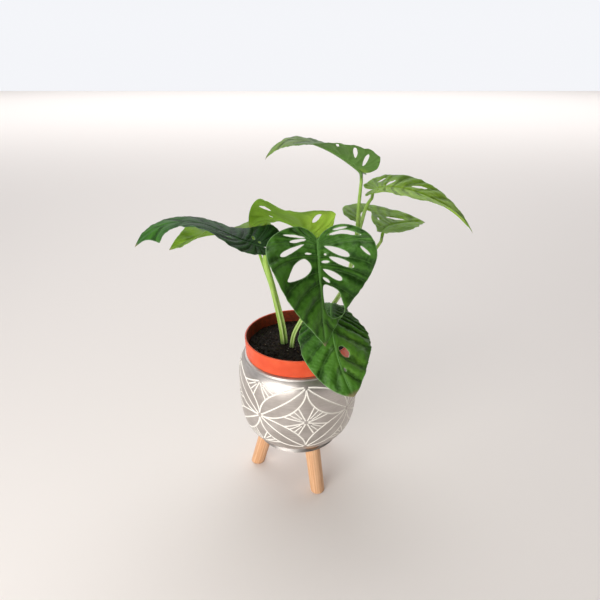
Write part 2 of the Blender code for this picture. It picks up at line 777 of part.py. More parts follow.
LEAF_MID_RIGHT = Leaf(
    "leaf_mid_right", base=(91, 20, 302), length=76, widths=(51, 34),
    heading=(69, 45, 29, 26), pitch=(6, -2, -4, -10), roll=(2, 0, -4, 4),
    left_fold=(17, 21), right_fold=(14, 0), curl=0, lift=32, fullness=0.99, lobes=(0.92, 0.92),
    hook=60, swells=(((0.16, 0.12, 0.07),), ()),
    holes=(
        slot((16, 32), (6, 50), 5),
        slot((19, 23), (14, 20), 2.2),
        rounded(((6, -16), (20, -14), (26, 4), (34, 14), (36, 22), (30, 24), (20, 14), (8, 3))),
    ))

STEM_LEFT = Stem(
    "stem_left", foot=(-16, -1.5), foot_radius=3.9, leaf=LEAF_LEFT,
    shoot=((-19, -5, 208), (-27, -15, 255), (-33, -23, 286)), shoot_radius=2.3,
    petioles=(
        (LEAF_FAR_LEFT, ((-17, -2, 190), (-20, 4, 203), (-30, 22, 235), (-41, 42, 259)), 2.0, 1.6),
    ))

STEM_MIDDLE = Stem(
    "stem_middle", foot=(-6.5, -11), foot_radius=3.0, leaf=LEAF_FRONT,
    shoot=((-4, -11, 195), (4, -11, 212), (16, -12, 235), (22, -18, 263), (21, -25, 290)),
    shoot_radius=1.6,
    petioles=(
        (LEAF_BACK, ((9, -11.5, 222), (17, -11, 238), (22, -9, 260), (22, -4, 283)), 2.0, 1.6),
    ))

STEM_RIGHT = Stem(
    "stem_right", foot=(13, 17), foot_radius=3.0, leaf=LEAF_TOP,
    shoot=((15, 16, 186), (27, 13, 199), (42, 9, 225), (52, 8, 246), (58, 9, 272), (62, 11, 301),
           (63, 13, 332)),
    shoot_radius=1.6,
    petioles=(
        (LEAF_RIGHT, ((60, 10, 285), (62, 11, 298), (66, 12.5, 311), (71, 16, 331)), 2.2, 1.6),
        (LEAF_MID_RIGHT, ((40, 10, 222), (46, 9.5, 231), (67, 11, 259), (79, 15, 276)), 1.8, 1.6),
        (LEAF_LOWER, ((14.5, 15.5, 187), (22, 8, 197), (32, -11, 219)), 1.8, 1.6),
    ))

STEMS = (STEM_LEFT, STEM_MIDDLE, STEM_RIGHT)


def main():
    remove_all_objects()
    parts = new_collection(OBJECT_NAME)
    cutters = new_collection("cutters")
    silver = new_material("silver_glaze", (0.55, 0.52, 0.50), 0.35, 0.8)
    wood = new_material("light_wood", (0.74, 0.46, 0.24), 0.55)
    orange = new_material("orange_plastic", (0.76, 0.12, 0.035), 0.4)
    earth = new_material("potting_soil", (0.03, 0.018, 0.012), 0.95)
    pale_green = new_material("pale_green_stem", (0.30, 0.50, 0.14), 0.5)
    deep_green = new_material("deep_green_leaf", (0.04, 0.14, 0.02), 0.4)
    dark_green = new_material("dark_green_leaf", (0.018, 0.07, 0.02), 0.35)
    fresh_green = new_material("fresh_green_leaf", (0.16, 0.32, 0.03), 0.45)
    build_cover_pot(parts, cutters, silver)
    build_legs(parts, wood)
    build_nursery_pot(parts, cutters, orange)
    build_soil(parts, cutters, earth, STEMS)
    for stem in STEMS:
        build_stem(stem, parts, pale_green)
    for leaf, green in ((LEAF_FRONT, deep_green), (LEAF_LOWER, deep_green), (LEAF_LEFT, dark_green),
                        (LEAF_FAR_LEFT, fresh_green), (LEAF_BACK, fresh_green), (LEAF_TOP, fresh_green),
                        (LEAF_RIGHT, fresh_green), (LEAF_MID_RIGHT, fresh_green)):
        build_leaf(leaf, parts, green)


main()
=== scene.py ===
"""Looks of the potted monstera adansonii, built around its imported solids.

Lengths are in millimetres, measured from the floor and from the axis of the pots, and angles in degrees.
in_metres() moves a finished shape into the frame of the whole.
"""
import math
from dataclasses import dataclass
from itertools import combinations

import bmesh
import bpy
import numpy as np
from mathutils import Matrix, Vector, kdtree
from mathutils.geometry import delaunay_2d_cdt


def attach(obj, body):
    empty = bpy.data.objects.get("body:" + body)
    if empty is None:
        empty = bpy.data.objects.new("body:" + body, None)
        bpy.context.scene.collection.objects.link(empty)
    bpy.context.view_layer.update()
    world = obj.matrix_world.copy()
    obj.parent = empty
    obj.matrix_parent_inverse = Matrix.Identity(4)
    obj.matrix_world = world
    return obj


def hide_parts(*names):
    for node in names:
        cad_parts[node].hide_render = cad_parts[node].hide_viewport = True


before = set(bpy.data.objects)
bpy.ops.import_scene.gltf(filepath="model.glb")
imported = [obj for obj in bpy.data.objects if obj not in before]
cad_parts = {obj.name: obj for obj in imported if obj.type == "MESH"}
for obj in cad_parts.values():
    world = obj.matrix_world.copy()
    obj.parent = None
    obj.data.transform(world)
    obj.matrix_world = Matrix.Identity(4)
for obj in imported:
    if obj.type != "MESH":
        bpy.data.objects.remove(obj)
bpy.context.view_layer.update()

MM = 0.001
POT_AXIS = np.array((-6.1, 5.8, 0.0))
SEED = 7

CAMERA_PLACE = (2.24, -504.6, 470.7)
CAMERA_TILT_DOWN = 25.45
CAMERA_LENS = 30.6
SKY_STRENGTH = 0.50
BACKDROP_GLOW = 0.55
FLOOR_HALF_SIZE = 8.0

BOWL_RADIUS = 68.8
BOWL_WIDEST_LEVEL = 134.0
BOWL_DEPTH_BELOW = 76.0
BOWL_RISE_ABOVE = 42.1
BOWL_FULLNESS = 3.65
BOWL_WALL = 4.5
BOWL_FLOOR_LEVEL = 71.0
BOWL_BASE_LEVEL = 58.0
BOWL_LIP_LEVEL = 168.5
BOWL_MOUTH_RADIUS = 56.0
BOWL_LIP_EDGE_RADIUS = 57.9

PATTERN_FRONT = 7.5
PATTERN_REPEATS = 4
PATTERN_CENTRE_LEVEL = 117.5
PATTERN_RISE = 42.5
PATTERN_FALL = 37.5
PATTERN_LOW = 72.0
PATTERN_HIGH = 164.0
MAIN_LINE_WIDTH = 1.7
MAIN_LINE_DEPTH = 0.6
FAN_LINE_WIDTH = 1.25
FAN_LINE_DEPTH = 0.5
HALF_REPEAT = BOWL_RADIUS * math.pi / PATTERN_REPEATS
SHEET_STEP = 1.4

LEG_FRONT_ANGLE = -63.5
LEG_NAMES = ("leg_front", "leg_back", "leg_left")
LEG_FOOT_CIRCLE = 52.2
LEG_TOP_CIRCLE = 34.0
LEG_TOP_LEVEL = 66.0
LEG_FOOT_RADIUS = 8.5
LEG_TOP_RADIUS = 9.25
LEG_EDGE_ROUND = 1.2
LEG_SIDES = 64
SOCKET_GAP = 0.3

COLLAR_LEVEL = 168.8
WALL_TOP_RADIUS = 55.2
WALL_THICKNESS = 1.5
POT_BASE_RADIUS = 42.4
POT_BASE_LEVEL = 84.0
POT_FLOOR_LEVEL = 86.0
DRAIN_HOLES = 6
DRAIN_RADIUS = 4.0
DRAIN_CIRCLE = 28.0
POT_SIDES = 192

SOIL_HEAP_LEVEL = 178.2
SOIL_EDGE_LEVEL = 175.4
SOIL_RADIUS = 57.0
SOIL_UNDERSIDE_LEVEL = 86.3
SOIL_SIDES = 240
SOIL_RINGS = 96
CRUMBS = 2300
PALE_CRUMB_EVERY = 46
FIBRES = 150

JOINT_RADIUS = 1.7
JOINT_LENGTH = 5.0
JOINT_GAP = 0.3
MIDRIB_BASE_RADIUS = 1.3
MIDRIB_TIP_RADIUS = 0.45
MIDRIB_START = 0.03
MIDRIB_REACH = 0.93
MIDRIB_SINK = 0.75
MIDRIB_SIDES = 18
PETIOLE_SIDES = 40
CURL_SPAN = 50.0
LOBE_SPAN = 0.2
BLADE_THICKNESS = 0.46
TRIANGLE_HEIGHT = 0.866

LOBE_CURVE = ((0.0, 0.0), (0.10, -0.13), (0.45, -0.20), (0.78, -0.06))
SHOULDER_CURVE = ((0.78, -0.06), (1.02, 0.05), (1.05, 0.22), (0.93, 0.40))
TAPER_CURVE = ((0.93, 0.40), (0.78, 0.62), (0.30, 0.80), (0.0, 1.0))


# Small helpers for shapes

def in_metres(points):
    return (np.asarray(points, float) + POT_AXIS) * MM


def smooth_step(low, high, value):
    share = np.clip((value - low) / (high - low), 0.0, 1.0)
    return share * share * (3 - 2 * share)


def bump(value, width):
    """A smooth hill of height one at nought."""
    return np.exp(-(value / width) ** 2)


def waves(points, size, seed):
    """Smooth, repeatable unevenness between about minus one and one."""
    picked = np.random.default_rng(seed)
    total = np.zeros(len(points))
    for octave in range(3):
        for _ in range(4):
            heading = picked.normal(size=points.shape[1])
            heading /= np.linalg.norm(heading)
            phase = picked.uniform(0, math.tau)
            length = size / 1.9 ** octave * picked.uniform(0.8, 1.25)
            total += np.sin(points @ heading * (math.tau / length) + phase) / (2.2 * 1.7 ** octave)
    return total / 2.2


def add_object(name, data):
    item = bpy.data.objects.new(name, data)
    bpy.context.scene.collection.objects.link(item)
    return item


def new_piece(name, points, faces, material, attributes=None):
    """A smooth mesh object from points in design millimetres, with named values at its points."""
    mesh = bpy.data.meshes.new(name)
    mesh.from_pydata(in_metres(points).tolist(), [], faces)
    mesh.polygons.foreach_set("use_smooth", [True] * len(mesh.polygons))
    for key, values in (attributes or {}).items():
        values = np.asarray(values, np.float32)
        if values.ndim == 1:
            mesh.attributes.new(key, "FLOAT", "POINT").data.foreach_set("value", values)
        else:
            mesh.attributes.new(key, "FLOAT_VECTOR", "POINT").data.foreach_set("vector", values.ravel())
    mesh.update()
    mesh.materials.append(material)
    return add_object(name, mesh)


def stands_for(piece, node):
    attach(piece, "root")
    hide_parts(node)


def join_shapes(shapes):
    """Puts (points, faces, attributes) shapes together into one."""
    faces = []
    attributes = {}
    shift = 0
    for part_points, part_faces, part_attributes in shapes:
        faces.extend([tuple(corner + shift for corner in face) for face in part_faces])
        for key, values in part_attributes.items():
            attributes.setdefault(key, []).append(values)
        shift += len(part_points)
    points = np.vstack([shape[0] for shape in shapes])
    return points, faces, {key: np.concatenate(values) for key, values in attributes.items()}


def grid_faces(rows, sides):
    """Quads between closed rings of points that follow one another."""
    faces = []
    for first in range(0, (rows - 1) * sides, sides):
        for side in range(sides):
            here = first + side
            beside = first + (side + 1) % sides
            faces.append((here, beside, beside + sides, here + sides))
    return faces


def tube_faces(rows, sides):
    """Quads between closed rings of points, with a flat face at each end."""
    ends = [tuple(range(sides))[::-1], tuple(range((rows - 1) * sides, rows * sides))]
    return grid_faces(rows, sides) + ends


def ring_angles(sides):
    return np.arange(sides) * math.tau / sides


def circle(radius, level, angles):
    """Points round the pots' axis. Radius and level are one number, or one for each angle."""
    return np.stack([radius * np.cos(angles), radius * np.sin(angles), np.full(len(angles), level)], 1)


def lathe(profile, steps):
    """Points and faces of a profile of radius and level turned on the pots' axis, closed at its ends."""
    rings = [circle(radius, level, ring_angles(steps)) for radius, level in profile]
    return np.vstack(rings), tube_faces(len(profile), steps)


def weld(item, distance):
    shape = bmesh.new()
    shape.from_mesh(item.data)
    bmesh.ops.remove_doubles(shape, verts=shape.verts, dist=distance * MM)
    bmesh.ops.recalc_face_normals(shape, faces=shape.faces)
    shape.to_mesh(item.data)
    shape.free()


def cut_hole(item, low, high):
    """Cuts the space between two rings of points out of a piece."""
    faces = tube_faces(2, len(low))
    cutter = new_piece("cutter", np.vstack([low, high]), faces, item.data.materials[0])
    boolean = item.modifiers.new("cut", "BOOLEAN")
    boolean.operation = "DIFFERENCE"
    boolean.object = cutter
    bpy.context.view_layer.update()
    graph = bpy.context.evaluated_depsgraph_get()
    mesh = bpy.data.meshes.new_from_object(item.evaluated_get(graph), preserve_all_data_layers=True,
                                           depsgraph=graph)
    item.modifiers.clear()
    item.data = mesh
    bpy.data.objects.remove(cutter)


def smooth_values(stations, share):
    """Values at shares of the length, smoothly through equally spaced stations (Catmull-Rom)."""
    stations = np.asarray(stations, float)
    share = np.atleast_1d(np.asarray(share, float))
    last = len(stations) - 1
    place = np.clip(share, 0.0, 1.0) * last
    index = np.minimum(place.astype(int), last - 1)
    part = place - index
    if stations.ndim > 1:
        part = part[:, None]
    before = stations[np.maximum(index - 1, 0)]
    start = stations[index]
    end = stations[index + 1]
    after = stations[np.minimum(index + 2, last)]
    linear = (end - before) * part
    square = (2 * before - 5 * start + 4 * end - after) * part ** 2
    cube = (3 * start - before - 3 * end + after) * part ** 3
    return (2 * start + linear + square + cube) / 2


def smooth_path(points, step):
    """Points about a step apart on a smooth curve through the given points."""
    corners = np.array(points, float)
    path = []
    for index in range(len(corners) - 1):
        run = np.linalg.norm(corners[index + 1] - corners[index])
        count = max(1, round(run / step))
        shares = (index + np.arange(count) / count) / (len(corners) - 1)
        path.append(smooth_values(corners, shares))
    path.append(corners[-1:])
    return np.vstack(path)


def cubic(points, share):
    share = np.atleast_1d(np.asarray(share, float))[:, None]
    back = 1.0 - share
    first, second, third, fourth = np.array(points, float)
    outer = back ** 3 * first + share ** 3 * fourth
    return outer + 3 * back * share * (back * second + share * third)


def run_lengths(points):
    """Lengths along a line of points, from its start to each of them."""
    return np.concatenate([[0.0], np.cumsum(np.linalg.norm(np.diff(points, axis=0), axis=1))])


def points_at(points, wanted):
    """Places on a line of points at the wanted lengths from its start."""
    lengths = run_lengths(points)
    return np.stack([np.interp(wanted, lengths, column) for column in points.T], 1)


def resample(points, step):
    length = run_lengths(points)[-1]
    return points_at(points, np.linspace(0.0, length, max(2, int(round(length / step)) + 1)))


def trimmed(points, start, end):
    """A line of points shortened at its ends by lengths in millimetres."""
    length = run_lengths(points)[-1]
    return points_at(points, np.linspace(start, length - end, max(3, int(length))))


def sweep(path, radii, sides, facing, shape=None):
    """A closed tube along a path. shape(angles, share, radius) may change the radius around it.

    The third result holds the angle, the length from the start and its share for each point.
    """
    count = len(path)
    ahead = np.gradient(path, axis=0)
    ahead /= np.linalg.norm(ahead, axis=1)[:, None]
    angles = ring_angles(sides)
    lengths = run_lengths(path)
    shares = lengths / lengths[-1]
    side = np.array(facing, float)
    points = []
    for index in range(count):
        side = side - ahead[index] * np.dot(side, ahead[index])
        side = side / np.linalg.norm(side)
        other = np.cross(ahead[index], side)
        reach = radii[index] if shape is None else shape(angles, shares[index], radii[index])
        ring = np.outer(np.cos(angles) * reach, side) + np.outer(np.sin(angles) * reach, other)
        points.append(path[index] + ring)
    place = np.stack([np.tile(angles, count), np.repeat(lengths, sides), np.repeat(shares, sides)], 1)
    return np.vstack(points), tube_faces(count, sides), place


def inside(points, loop):
    """Which points lie within a closed loop."""
    start = np.roll(loop, 1, axis=0)
    within = np.zeros(len(points), bool)
    for (x_start, y_start), (x_end, y_end) in zip(start, loop):
        if y_start == y_end:
            continue
        spans = (y_start > points[:, 1]) != (y_end > points[:, 1])
        crossing = x_start + (points[:, 1] - y_start) * (x_end - x_start) / (y_end - y_start)
        within ^= spans & (points[:, 0] < crossing)
    return within


def distance_to_lines(points, starts, ends):
    """Distance from each point to the nearest of many straight lines."""
    best = np.full(len(points), 1e9)
    for start, end in zip(starts, ends):
        run = end - start
        share = np.clip((points - start) @ run / max(run @ run, 1e-12), 0.0, 1.0)
        far = np.linalg.norm(points - start - share[:, None] * run, axis=1)
        best = np.minimum(best, far)
    return best


def crossed(first, second):
    return first[:, 0] * second[:, 1] - first[:, 1] * second[:, 0]


def between_points(points, share):
    """Places at shares of the way through equally spaced points."""
    place = np.clip(share, 0.0, 1.0) * (len(points) - 1)
    index = np.minimum(place.astype(int), len(points) - 2)
    part = (place - index)[:, None]
    return points[index] * (1 - part) + points[index + 1] * part


def loop_edges(count, first=0):
    return [(first + index, first + (index + 1) % count) for index in range(count)]


def split_plane(points, edges, kind, margin):
    """Corners and faces of a flat sheet through the points. The kind and margin are those of mathutils."""
    flat = [Vector(point) for point in np.vstack(points)]
    corners, _, faces = delaunay_2d_cdt(flat, edges, [], kind, margin)[:3]
    return np.array([tuple(corner) for corner in corners]), [tuple(face) for face in faces]


# Materials

def toned(colour, factor, lift=0.0):
    return tuple(min(1.0, value * factor + lift) for value in colour)


class Nodes:
    """Adds nodes to a tree. Most steps return the output of the node that they add."""

    def __init__(self, tree):
        self.tree = tree

    def plug(self, socket, value):
        """Links an output, or sets a plain number or colour."""
        if isinstance(value, bpy.types.NodeSocket):
            self.tree.links.new(value, socket)
        elif isinstance(value, tuple) and len(value) == 3 and socket.type == "RGBA":
            socket.default_value = (*value, 1.0)
        else:
            socket.default_value = value

    def add(self, kind, inputs, output=0, **settings):
        """Adds a node and returns one of its outputs, or all of them if the output is None."""
        made = self.tree.nodes.new(kind)
        for key, value in settings.items():
            setattr(made, key, value)
        for key, value in inputs.items():
            self.plug(made.inputs[key], value)
        return made.outputs if output is None else made.outputs[output]

    def split(self, vector):
        return self.add("ShaderNodeSeparateXYZ", {0: vector}, None)

    def join(self, x, y, z=0.0):
        return self.add("ShaderNodeCombineXYZ", {0: x, 1: y, 2: z})

    def math(self, operation, first, second=0.0, third=0.0):
        return self.add("ShaderNodeMath", {0: first, 1: second, 2: third}, operation=operation)

    def times(self, first, second):
        return self.math("MULTIPLY", first, second)

    def plus(self, first, second):
        return self.math("ADD", first, second)

    def range(self, value, low, high, to_low=0.0, to_high=1.0, smooth=True):
        inputs = {"Value": value, "From Min": low, "From Max": high, "To Min": to_low, "To Max": to_high}
        kind = "SMOOTHSTEP" if smooth else "LINEAR"
        return self.add("ShaderNodeMapRange", inputs, "Result", interpolation_type=kind)

    def mix(self, share, first, second):
        return self.add("ShaderNodeMix", {"Factor": share, 6: first, 7: second}, 2, data_type="RGBA")

    def layered(self, colour, layers):
        """Lays (share, colour) layers over a colour, one after another."""
        for share, layer in layers:
            colour = self.mix(share, colour, layer)
        return colour


class Shader(Nodes):
    """A material with one main surface and a fine relief."""

    def __init__(self, name, roughness=0.5, specular=0.5, coat=0.0, coat_roughness=0.2):
        self.material = bpy.data.materials.new(name)
        self.material.use_nodes = True
        super().__init__(self.material.node_tree)
        self.principled = self.tree.nodes["Principled BSDF"]
        self.height = None
        for key, value in (("Roughness", roughness), ("Specular IOR Level", specular),
                           ("Coat Weight", coat), ("Coat Roughness", coat_roughness)):
            self.surface(key, value)

    def surface(self, key, value):
        self.plug(self.principled.inputs[key], value)

    def attribute(self, name, output="Vector"):
        return self.add("ShaderNodeAttribute", {}, output, attribute_name=name)

    def place(self):
        return self.add("ShaderNodeTexCoord", {}, "Object")

    def scaled(self, vector, scale):
        return self.add("ShaderNodeMapping", {"Vector": vector, "Scale": scale})

    def noise(self, vector, scale, detail=3.0, roughness=0.55, distortion=0.0):
        inputs = {"Vector": vector, "Scale": scale, "Detail": detail, "Roughness": roughness,
                  "Distortion": distortion}
        return self.add("ShaderNodeTexNoise", inputs, "Fac")

    def net(self, vector, scale, width):
        """The lines between irregular cells."""
        inputs = {"Vector": vector, "Scale": scale, "Randomness": 1.0}
        gap = self.add("ShaderNodeTexVoronoi", inputs, "Distance", feature="DISTANCE_TO_EDGE")
        return self.range(gap, 0.0, width, 1.0, 0.0)

    def add_relief(self, *layers):
        """Adds (value, amount) layers to the fine relief, with amounts in millimetres."""
        for value, amount in layers:
            part = self.times(value, amount * MM)
            self.height = part if self.height is None else self.plus(self.height, part)

    def finish(self, colour, roughness=None, metallic=None):
        for key, value in (("Base Color", colour), ("Roughness", roughness), ("Metallic", metallic)):
            if value is not None:
                self.surface(key, value)
        if self.height is not None:
            inputs = {"Strength": 1.0, "Distance": 1.0, "Height": self.height}
            self.surface("Normal", self.add("ShaderNodeBump", inputs))
        return self.material

    def let_through(self, colour, share):
        """Lets a share of the light through the surface, in a colour of its own."""
        through = self.add("ShaderNodeBsdfTranslucent", {"Color": colour})
        both = self.add("ShaderNodeMixShader", {0: share, 1: self.principled.outputs[0], 2: through})
        self.plug(self.tree.nodes["Material Output"].inputs["Surface"], both)
        return self.material


def silver_material():
    """Satin silver paint, brushed on, with off-white colour in the engraved lines."""
    shader = Shader("silver_glaze_fine")
    place = shader.place()
    groove = shader.attribute("line_colour", "Fac")
    grain = shader.noise(place, 900.0, 4.0, 0.6)
    cloud = shader.noise(place, 34.0)
    strokes = shader.noise(shader.scaled(place, (70.0, 70.0, 700.0)), 1.0)
    wear = shader.plus(shader.times(grain, 0.5), shader.times(cloud, 0.5))
    paint = shader.range(shader.plus(groove, shader.times(grain, 0.35)), 0.52, 0.78)
    silver = shader.layered((0.49, 0.45, 0.42), (
        (shader.range(cloud, 0.3, 0.7), (0.63, 0.59, 0.56)),
        (shader.range(strokes, 0.35, 0.75, 0.0, 0.35), (0.38, 0.345, 0.315))))
    cream = shader.mix(wear, (0.86, 0.82, 0.74), (0.95, 0.93, 0.88))
    shader.add_relief((grain, 0.035), (strokes, 0.03))
    roughness = shader.range(cloud, 0.3, 0.75, 0.34, 0.44)
    roughness = shader.math("MAXIMUM", roughness, shader.times(paint, 0.6))
    metallic = shader.range(paint, 0.0, 1.0, 0.86, 0.0, smooth=False)
    return shader.finish(shader.mix(paint, silver, cream), roughness, metallic)


def wood_material():
    """Light beech or pine dowel, with long grain along the leg and darker pores."""
    shader = Shader("light_wood_fine", specular=0.4, coat=0.08, coat_roughness=0.35)
    place = shader.attribute("grain_place")
    long_noise = shader.noise(shader.scaled(place, (0.30, 0.30, 0.016)), 1.0, 4.0, 0.6, 0.6)
    fine = shader.noise(shader.scaled(place, (2.6, 2.6, 0.07)), 1.0, 4.0, 0.7)
    pores = shader.noise(shader.scaled(place, (5.5, 5.5, 0.22)), 1.0, 2.0, 0.5)
    inputs = {"Vector": shader.scaled(place, (0.11, 0.05, 0.0035)), "Scale": 1.0, "Distortion": 5.0,
              "Detail": 2.0, "Detail Scale": 0.8}
    band = shader.add("ShaderNodeTexWave", inputs, "Fac", wave_type="BANDS", bands_direction="X")
    colour = shader.layered((0.70, 0.37, 0.185), (
        (shader.range(long_noise, 0.3, 0.72), (0.86, 0.54, 0.32)),
        (shader.range(band, 0.35, 0.95, 0.0, 0.45), (0.62, 0.31, 0.14)),
        (shader.range(fine, 0.52, 0.72, 0.0, 0.35), (0.50, 0.24, 0.10)),
        (shader.range(pores, 0.66, 0.74, 0.0, 0.5), (0.30, 0.13, 0.05)),
        (shader.times(shader.attribute("end_grain", "Fac"), 0.65), (0.34, 0.16, 0.07))))
    shader.add_relief((fine, -0.06), (shader.range(pores, 0.62, 0.74), -0.08))
    return shader.finish(colour, shader.range(fine, 0.3, 0.7, 0.42, 0.58))


def plastic_material():
    """Thin orange plastic, faintly uneven from the mould; inside it is dark red-brown, partly soil and water
    marks and partly painted shade.
    """
    shader = Shader("orange_plastic_fine", specular=0.35)
    place = shader.place()
    cloud = shader.noise(place, 60.0, 4.0)
    dirt = shader.noise(place, 260.0, 5.0, 0.65)
    # Inside colour: dark red-brown, partly soil and water marks and partly painted shade inside the pot
    inner = shader.mix(shader.range(dirt, 0.35, 0.65), (0.30, 0.045, 0.018), (0.14, 0.03, 0.015))
    colour = shader.layered((0.70, 0.072, 0.020), (
        (shader.range(cloud, 0.3, 0.7), (0.78, 0.105, 0.032)),
        (shader.range(dirt, 0.60, 0.75, 0.0, 0.25), (0.64, 0.17, 0.08)),
        (shader.attribute("inner_side", "Fac"), inner)))
    shader.add_relief((shader.noise(place, 2200.0, 2.0), 0.012), (cloud, 0.06))
    return shader.finish(colour, shader.range(dirt, 0.35, 0.7, 0.34, 0.5))


def soil_material():
    """Dark peat with fibres, lighter crumbs and a few pale specks."""
    shader = Shader("potting_soil_fine", specular=0.25)
    place = shader.place()
    tone = shader.attribute("tone", "Fac")
    grain = shader.noise(place, 1400.0, 5.0, 0.7)
    cloud = shader.noise(place, 90.0)
    brown = shader.mix(grain, (0.035, 0.020, 0.013), (0.085, 0.052, 0.034))
    pale = shader.mix(grain, (0.30, 0.27, 0.23), (0.62, 0.58, 0.52))
    colour = shader.layered((0.006, 0.0045, 0.004), (
        (grain, (0.030, 0.019, 0.014)),
        (shader.range(cloud, 0.3, 0.7, 0.0, 0.6), (0.018, 0.012, 0.009)),
        (shader.range(tone, 0.25, 0.5), brown),
        (shader.range(tone, 0.8, 0.95), pale)))
    shader.add_relief((grain, 0.35))
    return shader.finish(colour, shader.range(grain, 0.3, 0.7, 0.75, 0.97))


def stem_material():
    """Pale green petioles: long stripes, a lighter sheath edge, a darker foot, and painted shade in the
    sheath's channel.
    """
    shader = Shader("pale_green_stem_fine", specular=0.3)
    around, along, _ = shader.split(shader.attribute("stem_place"))
    lip, dark, _ = shader.split(shader.attribute("stem_looks"))
    turn = shader.join(shader.math("COSINE", around), shader.math("SINE", around),
                       shader.times(along, 0.035))
    stripes = shader.noise(shader.scaled(turn, (5.0, 5.0, 0.5)), 1.0, 3.0, 0.6)
    fine = shader.noise(shader.scaled(turn, (16.0, 16.0, 1.2)), 1.0, 2.0)
    blotch = shader.noise(shader.place(), 120.0)
    colour = shader.layered((0.25, 0.46, 0.06), (
        (shader.range(stripes, 0.32, 0.68), (0.48, 0.68, 0.16)),
        (shader.range(blotch, 0.45, 0.7, 0.0, 0.35), (0.58, 0.72, 0.24)),
        (shader.times(lip, 0.8), (0.70, 0.82, 0.38)),
        # Painted shade in the sheath's channel, with the darker foot and a darker end at the leaf's joint
        (shader.times(dark, 0.85), (0.07, 0.17, 0.05))))
    shader.add_relief((stripes, 0.10), (fine, 0.04))
    shader.finish(colour, shader.range(fine, 0.3, 0.7, 0.38, 0.5))
    return shader.let_through(shader.mix(0.5, colour, (0.45, 0.62, 0.12)), 0.12)


def leaf_material(name, deep, light, bright, under, glow, through_share, gloss_tint, roughness_range,
                  gloss=0.30):
    """A leaf's skin: lateral veins, a fine net of veins, a pale margin, light that comes through, and painted
    light and shade.
    """
    shader = Shader(name, specular=gloss)
    across, along, face = shader.split(shader.attribute("blade_place"))
    phase, spacing, reach = shader.split(shader.attribute("vein_place"))
    # The third value, hill, is painted light where it is above nought and painted shade where it is below
    # nought
    edge, from_tip, hill = shader.split(shader.attribute("edge_place"))
    place = shader.join(across, along)
    # Shares of the way from a lateral vein to the next, made into millimetres by their spacing
    turn = shader.math("FRACT", shader.plus(phase, 0.5))
    from_vein = shader.math("ABSOLUTE", shader.math("SUBTRACT", turn, 0.5))
    from_middle = shader.math("SUBTRACT", 0.5, from_vein)
    taper = shader.range(reach, 0.0, 1.0, 0.62, 0.28, smooth=False)
    vein_gap = shader.math("DIVIDE", shader.times(from_vein, spacing), taper)
    vein = shader.range(vein_gap, 0.35, 1.1, 1.0, 0.0)
    minor = shader.range(shader.times(from_middle, spacing), 0.08, 0.34, 1.0, 0.0)
    midrib = shader.range(shader.math("ABSOLUTE", across), 0.7, 1.5, 1.0, 0.0)
    net_warp = shader.noise(place, 0.22, 2.0)
    net_place = shader.join(shader.math("MULTIPLY_ADD", phase, 3.4, net_warp),
                            shader.math("MULTIPLY_ADD", reach, 12.0, net_warp))
    net = shader.net(net_place, 1.0, 0.10)
    patch = shader.noise(place, 0.055, 3.0, 0.6)
    speckle = shader.noise(place, 1.6, 3.0, 0.6)
    streak = shader.noise(shader.join(shader.times(phase, 2.6), reach), 1.6, 3.0, 0.6)
    tone = shader.plus(shader.times(patch, 0.55), shader.times(streak, 0.45))
    # Share from a lateral vein, made uneven: it places the painted highlight on the quilting's crests and the
    # painted shade in its valleys
    broken = shader.math("MULTIPLY_ADD", shader.math("SUBTRACT", patch, 0.5), 0.9, from_vein)
    shade = toned(deep, 0.4)
    pale = toned(light, 1.6, 0.05)
    upper = shader.layered(deep, (
        # Random tone raised by painted light, then painted light on lit patches and painted shade on shaded
        # ones
        (shader.range(shader.plus(tone, shader.times(hill, 0.5)), 0.34, 0.66), light),
        (shader.range(hill, 0.25, 1.2, 0.0, 0.9), bright),
        (shader.range(hill, -1.0, -0.2, 0.75, 0.0), shade),
        (shader.range(speckle, 0.45, 0.75, 0.0, 0.18), light),
        # Painted highlight on the crests between lateral veins, and painted shade in the valleys beside them
        (shader.range(broken, 0.16, 0.46, 0.0, 0.6), light),
        (shader.range(broken, 0.03, 0.25, 0.75, 0.0), shade),
        (shader.times(net, 0.16), pale),
        (shader.times(minor, 0.1), pale),
        (shader.times(vein, 0.25), pale),
        (shader.times(midrib, 0.55), pale),
        (shader.range(edge, 0.22, 0.75, 0.75, 0.0), toned(pale, 0.9, 0.10))))
    lower = shader.layered(under, (
        (shader.range(tone, 0.34, 0.66), toned(under, 1.25)),
        (shader.times(shader.math("MAXIMUM", vein, midrib), 0.5), pale),
        (shader.times(net, 0.2), pale),
        # Painted light and painted shade of the same patches on the underside
        (shader.range(hill, 0.2, 1.1, 0.0, 0.9), bright),
        (shader.range(hill, -1.0, -0.2, 0.6, 0.0), deep)))
    below = shader.range(face, -0.2, 0.2, 1.0, 0.0)
    withered = shader.range(shader.math("MULTIPLY_ADD", speckle, 4.0, from_tip), 3.0, 8.0, 0.85, 0.0)
    colour = shader.layered(upper, ((below, lower), (withered, (0.36, 0.29, 0.16))))
    shader.add_relief((net, -0.05), (shader.net(place, 0.85, 0.12), -0.02), (vein, -0.10),
                      (minor, -0.05), (speckle, 0.035))
    roughness = shader.plus(shader.range(patch, 0.3, 0.7, *roughness_range), shader.times(below, 0.18))
    shader.surface("Specular Tint", gloss_tint)
    shader.finish(colour, roughness)
    veined = shader.times(shader.math("MAXIMUM", vein, net), 0.35)
    return shader.let_through(shader.mix(veined, glow, toned(glow, 0.45)), through_share)


# The bowl

def superellipse(radius, below, above, angle):
    power = 2.0 / BOWL_FULLNESS
    rise = above if angle > 0 else below
    across = radius * math.cos(angle) ** power
    up = math.copysign(abs(math.sin(angle)) ** power, angle) * rise
    return across, BOWL_WIDEST_LEVEL + up


def angle_of_radius(radius, part):
    return math.acos((part / radius) ** (BOWL_FULLNESS / 2.0))


